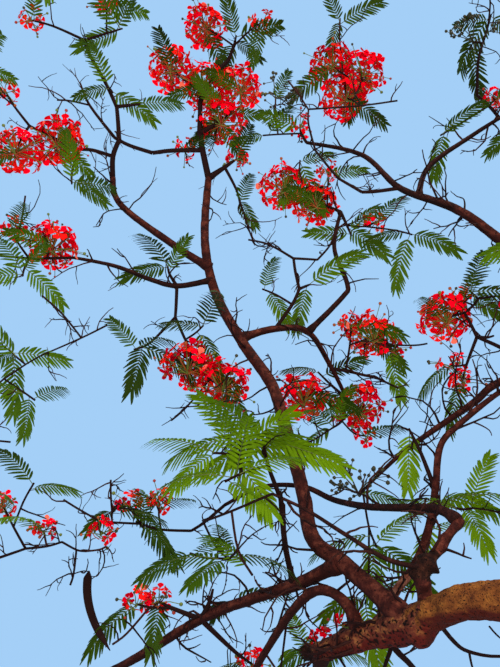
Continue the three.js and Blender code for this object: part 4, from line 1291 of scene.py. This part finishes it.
def finer_heads(name, twigs, rng):
    """More heads round those of the solids and along the limb that carries them."""
    limb = np.array(LIMBS[MASSES[name][0]][1], float)[LIMB_HEADS_FROM:]
    stems = [(twig["line"], twig["at"], MORE_HEADS) for twig in twigs if twig["kind"] in ("bloom", "leaf")]
    stems += [(limb[i:i + 2], limb[i + 1], LIMB_HEADS) for i in range(len(limb) - 1)]
    more = []
    for line, middle, count in stems:
        for _ in range(count):
            out = compass(rng.uniform(0, 360)) * rng.uniform(*HEAD_REACH)
            at = middle + out + UP * rng.uniform(*HEAD_RISE)
            first = rng.integers(len(line) - 1)
            start = between(line[first:first + 2], rng.uniform(0, FINE_LEAVE))
            more.append(finer_twig(name, start, at, rng))
    return [twig for twig in more if twig]


# The paint of a mass's leaves: a bright one near the camera, which is painted light, and else the mass's own,
# which is dealt out, or one near it
MASS_TONES = (1, 4)
SPRAY_TONES = (-1, 0, 0, 1)
NEAR_TONES = (0, 0, 1)
NEAR_MASSES = ("near_tuft", "right_leaves")
NEAR_MORE = 1
LEAF_BULGE = (0.05, 0.14)

# Twigs: how smooth, from which radius they have more sides or are always dark, and the pod's own
TWIG_BENDS = 4
STOUT = 9
STOUT_SIDES = 8
SLIM_SIDES = 5
DARK_FROM = 6
POD_TWIG = (0.6, 0.5)
BLOOM_ABOVE = 12

# Dead spurs on the twigs, and bare twigs along the limbs
SPUR_LENGTH = (90, 260)
SPURS_FROM = 430
SPURS_RISE = 0.3
DEAD_SPURS = 4
SPUR_RADIUS = 4.5
LIMB_TWIG_STEP = 150
LIMB_TWIG_LENGTH = (90, 330)
LIMB_TWIG_RADIUS = 6
LIMB_TWIG_ALONG = 0.4
LIMB_TWIG_SUNK = 0.8
grown = {name: grow_twigs(name, i + 1) for i, name in enumerate(MASSES)}


def foliage(region, names):
    """The masses of a region: twigs, leaves and blossom, each kind as one mesh."""
    leaves, twigs, blossom = Pile(), Pile(), Pile()
    for name in names:
        seed = list(MASSES).index(name) + 1
        rng = np.random.default_rng(FOLIAGE_SEED + seed)
        rivals = np.array([twig["at"] for other in grown if other != name for twig in grown[other]])
        spray = rng.integers(*MASS_TONES)
        west = name in WEST
        leaf_kinds = LEAF_KINDS if west else FAR_LEAF_KINDS
        heads = grown[name] + ([] if west else finer_heads(name, grown[name], rng))
        near = name in NEAR_MASSES
        for i, twig in enumerate(heads):
            kind, at, fine = twig["kind"], twig["at"], "fine" in twig
            more = (MORE_IN_VIEW if in_view(at) else MORE_LEAVES).get(kind, 0) + (NEAR_MORE if near else 0)
            line = bend(twig["line"], TWIG_BENDS)
            s = lengths(line)
            coarse = lengths(twig["line"])
            radii = np.interp(s, coarse * s[-1] / coarse[-1], twig["radii"])
            if kind == "pod":
                radii = TWIG_TIP * np.linspace(*POD_TWIG, len(radii))
            sides = STOUT_SIDES if radii[0] > STOUT else SLIM_SIDES
            stalk(twigs, line, radii, DARK if radii[0] > DARK_FROM else rng.choice(MOSTLY_DARK), sides)
            for blade in leaves_of(name, twig, seed * LEAF_SEEDS[0] + i * LEAF_SEEDS[1] + 1, rivals, more):
                if inside(blade["tip"]):
                    # Masses near the camera take the brightest greens, as painted light
                    green = rng.choice(NEAR_TONES) if near else spray + rng.choice(SPRAY_TONES)
                    template = leaf_kinds[rng.integers(len(leaf_kinds))]
                    place_leaf(leaves, template, blade, rng.uniform(*LEAF_BULGE), max(green, 0))
            if kind in BLOOM_RADIUS:
                full = FLOWERS_PER_BLOOM if west else FLOWERS_FAR
                bloom(blossom, at + UP * BLOOM_ABOVE, BLOOM_RADIUS[kind], rng, full)
            if kind == "buds":
                bud_spray(blossom, at, rng)
            for _ in range(DEAD_SPURS if kind == "bare" else 1 if fine or s[-1] < SPURS_FROM else 2):
                start = line[rng.integers(1, len(line) - 1)]
                way = stray(rng, 1) + SPURS_RISE * UP
                bare_twig(twigs, start, way, rng.uniform(*SPUR_LENGTH), SPUR_RADIUS, rng, 0 if fine else 1)
    nodes = [f"{name}_foliage" for name in names]
    twigs.piece(f"twigs_{region}", TWIG_BARK, "foliage", nodes)
    leaves.piece(f"leaves_{region}", GREENS, "foliage", nodes, smooth=False)
    blossom.piece(f"blossom_{region}", REDS, "foliage", nodes)


# Bare limbs and twigs that show against the sky under the long bough: joints, and radii at the root
# and the tip
BESIDE_BOUGH = [
    ([(-1620, 790, 3000), (-1540, 910, 2990), (-1470, 980, 2990), (-1340, 1030, 3000),
      (-1160, 1060, 3050)], (9, 5)),
    ([(-1470, 980, 2990), (-1450, 1050, 2960), (-1390, 1190, 2910)], (5, 3)),
    ([(-1790, 1000, 3120), (-1720, 1100, 3070), (-1640, 1200, 3050), (-1510, 1410, 3010),
      (-1330, 1600, 2990)], (15, 8)),
    ([(-1730, 1030, 3100), (-1740, 1110, 3070), (-1760, 1190, 3040), (-1790, 1370, 2960)], (11, 6)),
    ([(-1360, 990, 3100), (-1310, 1050, 3090), (-1220, 1120, 3080)], (4, 3)),
    ([(-1680, 1140, 3070), (-1620, 1160, 3110)], (4, 3)),
]
BESIDE_BENDS = 4
BESIDE_SIDES = 7
ROUTE_BENDS = 6
BARE_POINTS = (8, 20)


def limb_twigs():
    """Short bare twigs along the thinner limbs, and longer ones beside the long bough."""
    pile = Pile()
    rng = np.random.default_rng(LIMB_TWIG_SEED)
    for joints, radii in BESIDE_BOUGH:
        line = bend(joints, BESIDE_BENDS)
        stalk(pile, line, np.linspace(*radii, len(line)), DARK, BESIDE_SIDES)
        bare_twig(pile, line[-3], stray(rng, 1), rng.uniform(*SPUR_LENGTH), SPUR_RADIUS, rng, 0)
    for name, (_, route, (root, _), _) in LIMBS.items():
        line = bend(route, ROUTE_BENDS)
        radii = limb_radii(name, line)
        first = BARE_POINTS[1 if root > OLD_FROM else 0]
        for _ in range(int(lengths(line)[-1] / LIMB_TWIG_STEP)):
            i = rng.integers(first, len(line) - 1)
            along = unit(line[i] - line[i - 1])
            way = unit(stray(rng, 1) + SPURS_RISE * UP + LIMB_TWIG_ALONG * along)
            start = line[i] + unit(way - along * (way @ along)) * radii[i] * LIMB_TWIG_SUNK
            bare_twig(pile, start, way, rng.uniform(*LIMB_TWIG_LENGTH), LIMB_TWIG_RADIUS, rng, 1)
    pile.piece("limb_twigs", TWIG_BARK, "foliage", [])


bark_piece()
foliage("west", WEST)
foliage("south", SOUTH)
foliage("east", EAST)
foliage("north", NORTH)
limb_twigs()
pod = Pile()
pod.add(*pod_mesh(MASSES["left_edge"][2]["pod"][0]))
pod.piece("pod", POD_BARK, "foliage", ["left_edge_foliage"])

# Stage: a pale floor and soft light, in metres
FLOOR_RADIUS = 400
FLOOR_SIDES = 90
FLOOR_DROP = 0.002
rim = [compass(360 * i / FLOOR_SIDES) * FLOOR_RADIUS - UP * FLOOR_DROP for i in range(FLOOR_SIDES)]
floor_mesh = bpy.data.meshes.new("floor")
floor_mesh.from_pydata([tuple(p) for p in rim], [], [tuple(range(FLOOR_SIDES))])
floor_mesh.materials.append(plain("floor_pale", "d6d5d0", 0.9))
floor = bpy.data.objects.new("floor", floor_mesh)
bpy.context.scene.collection.objects.link(floor)

world = bpy.data.worlds.new("soft_light")
bpy.context.scene.world = world
world.use_nodes = True
world.node_tree.nodes["Background"].inputs["Color"].default_value = (*paint("a4cff7"), 1)
world.node_tree.nodes["Background"].inputs["Strength"].default_value = 1.0


def light(name, kind, energy, code, turn, **settings):
    """A light, turned by three angles in degrees."""
    data = bpy.data.lights.new(name, kind)
    data.energy = energy
    data.color = paint(code)
    for key, value in settings.items():
        setattr(data, key, value)
    made = bpy.data.objects.new(name, data)
    made.rotation_euler = [math.radians(angle) for angle in turn]
    bpy.context.scene.collection.objects.link(made)
    return made


SUN_SPREAD = 12
SUN_ELEVATION = 42
SUN_HEADING = -60
light("key", "SUN", 3.0, "fff2de", (90 - SUN_ELEVATION, 0, SUN_HEADING + 90), angle=math.radians(SUN_SPREAD))

# Wide soft lamps that light upward and aren't in the picture: the power, the size and the place
LAMPS = {"side_lamp": (330, 2.4, (-1.4, -4.6, 1.4)), "low_lamp": (100, 3, (-2.3, -2.2, 0.9))}
for lamp_name, (power, width, place) in LAMPS.items():
    lamp = light(lamp_name, "AREA", power, "fff6ea", (180, 0, 0), shape="DISK", size=width)
    lamp.location = place
    lamp.visible_camera = False

CLIP_END = 1000
camera = bpy.data.objects.new("camera", bpy.data.cameras.new("camera"))
camera.location = EYE
camera.rotation_euler = (math.radians(90 + LOOK_UP), 0, 0)
camera.data.sensor_width = SENSOR
camera.data.lens = SENSOR * FOCAL / PHOTO[1]
camera.data.clip_end = CLIP_END
bpy.context.scene.collection.objects.link(camera)
bpy.context.scene.camera = camera
bpy.context.scene.view_settings.view_transform = "Standard"
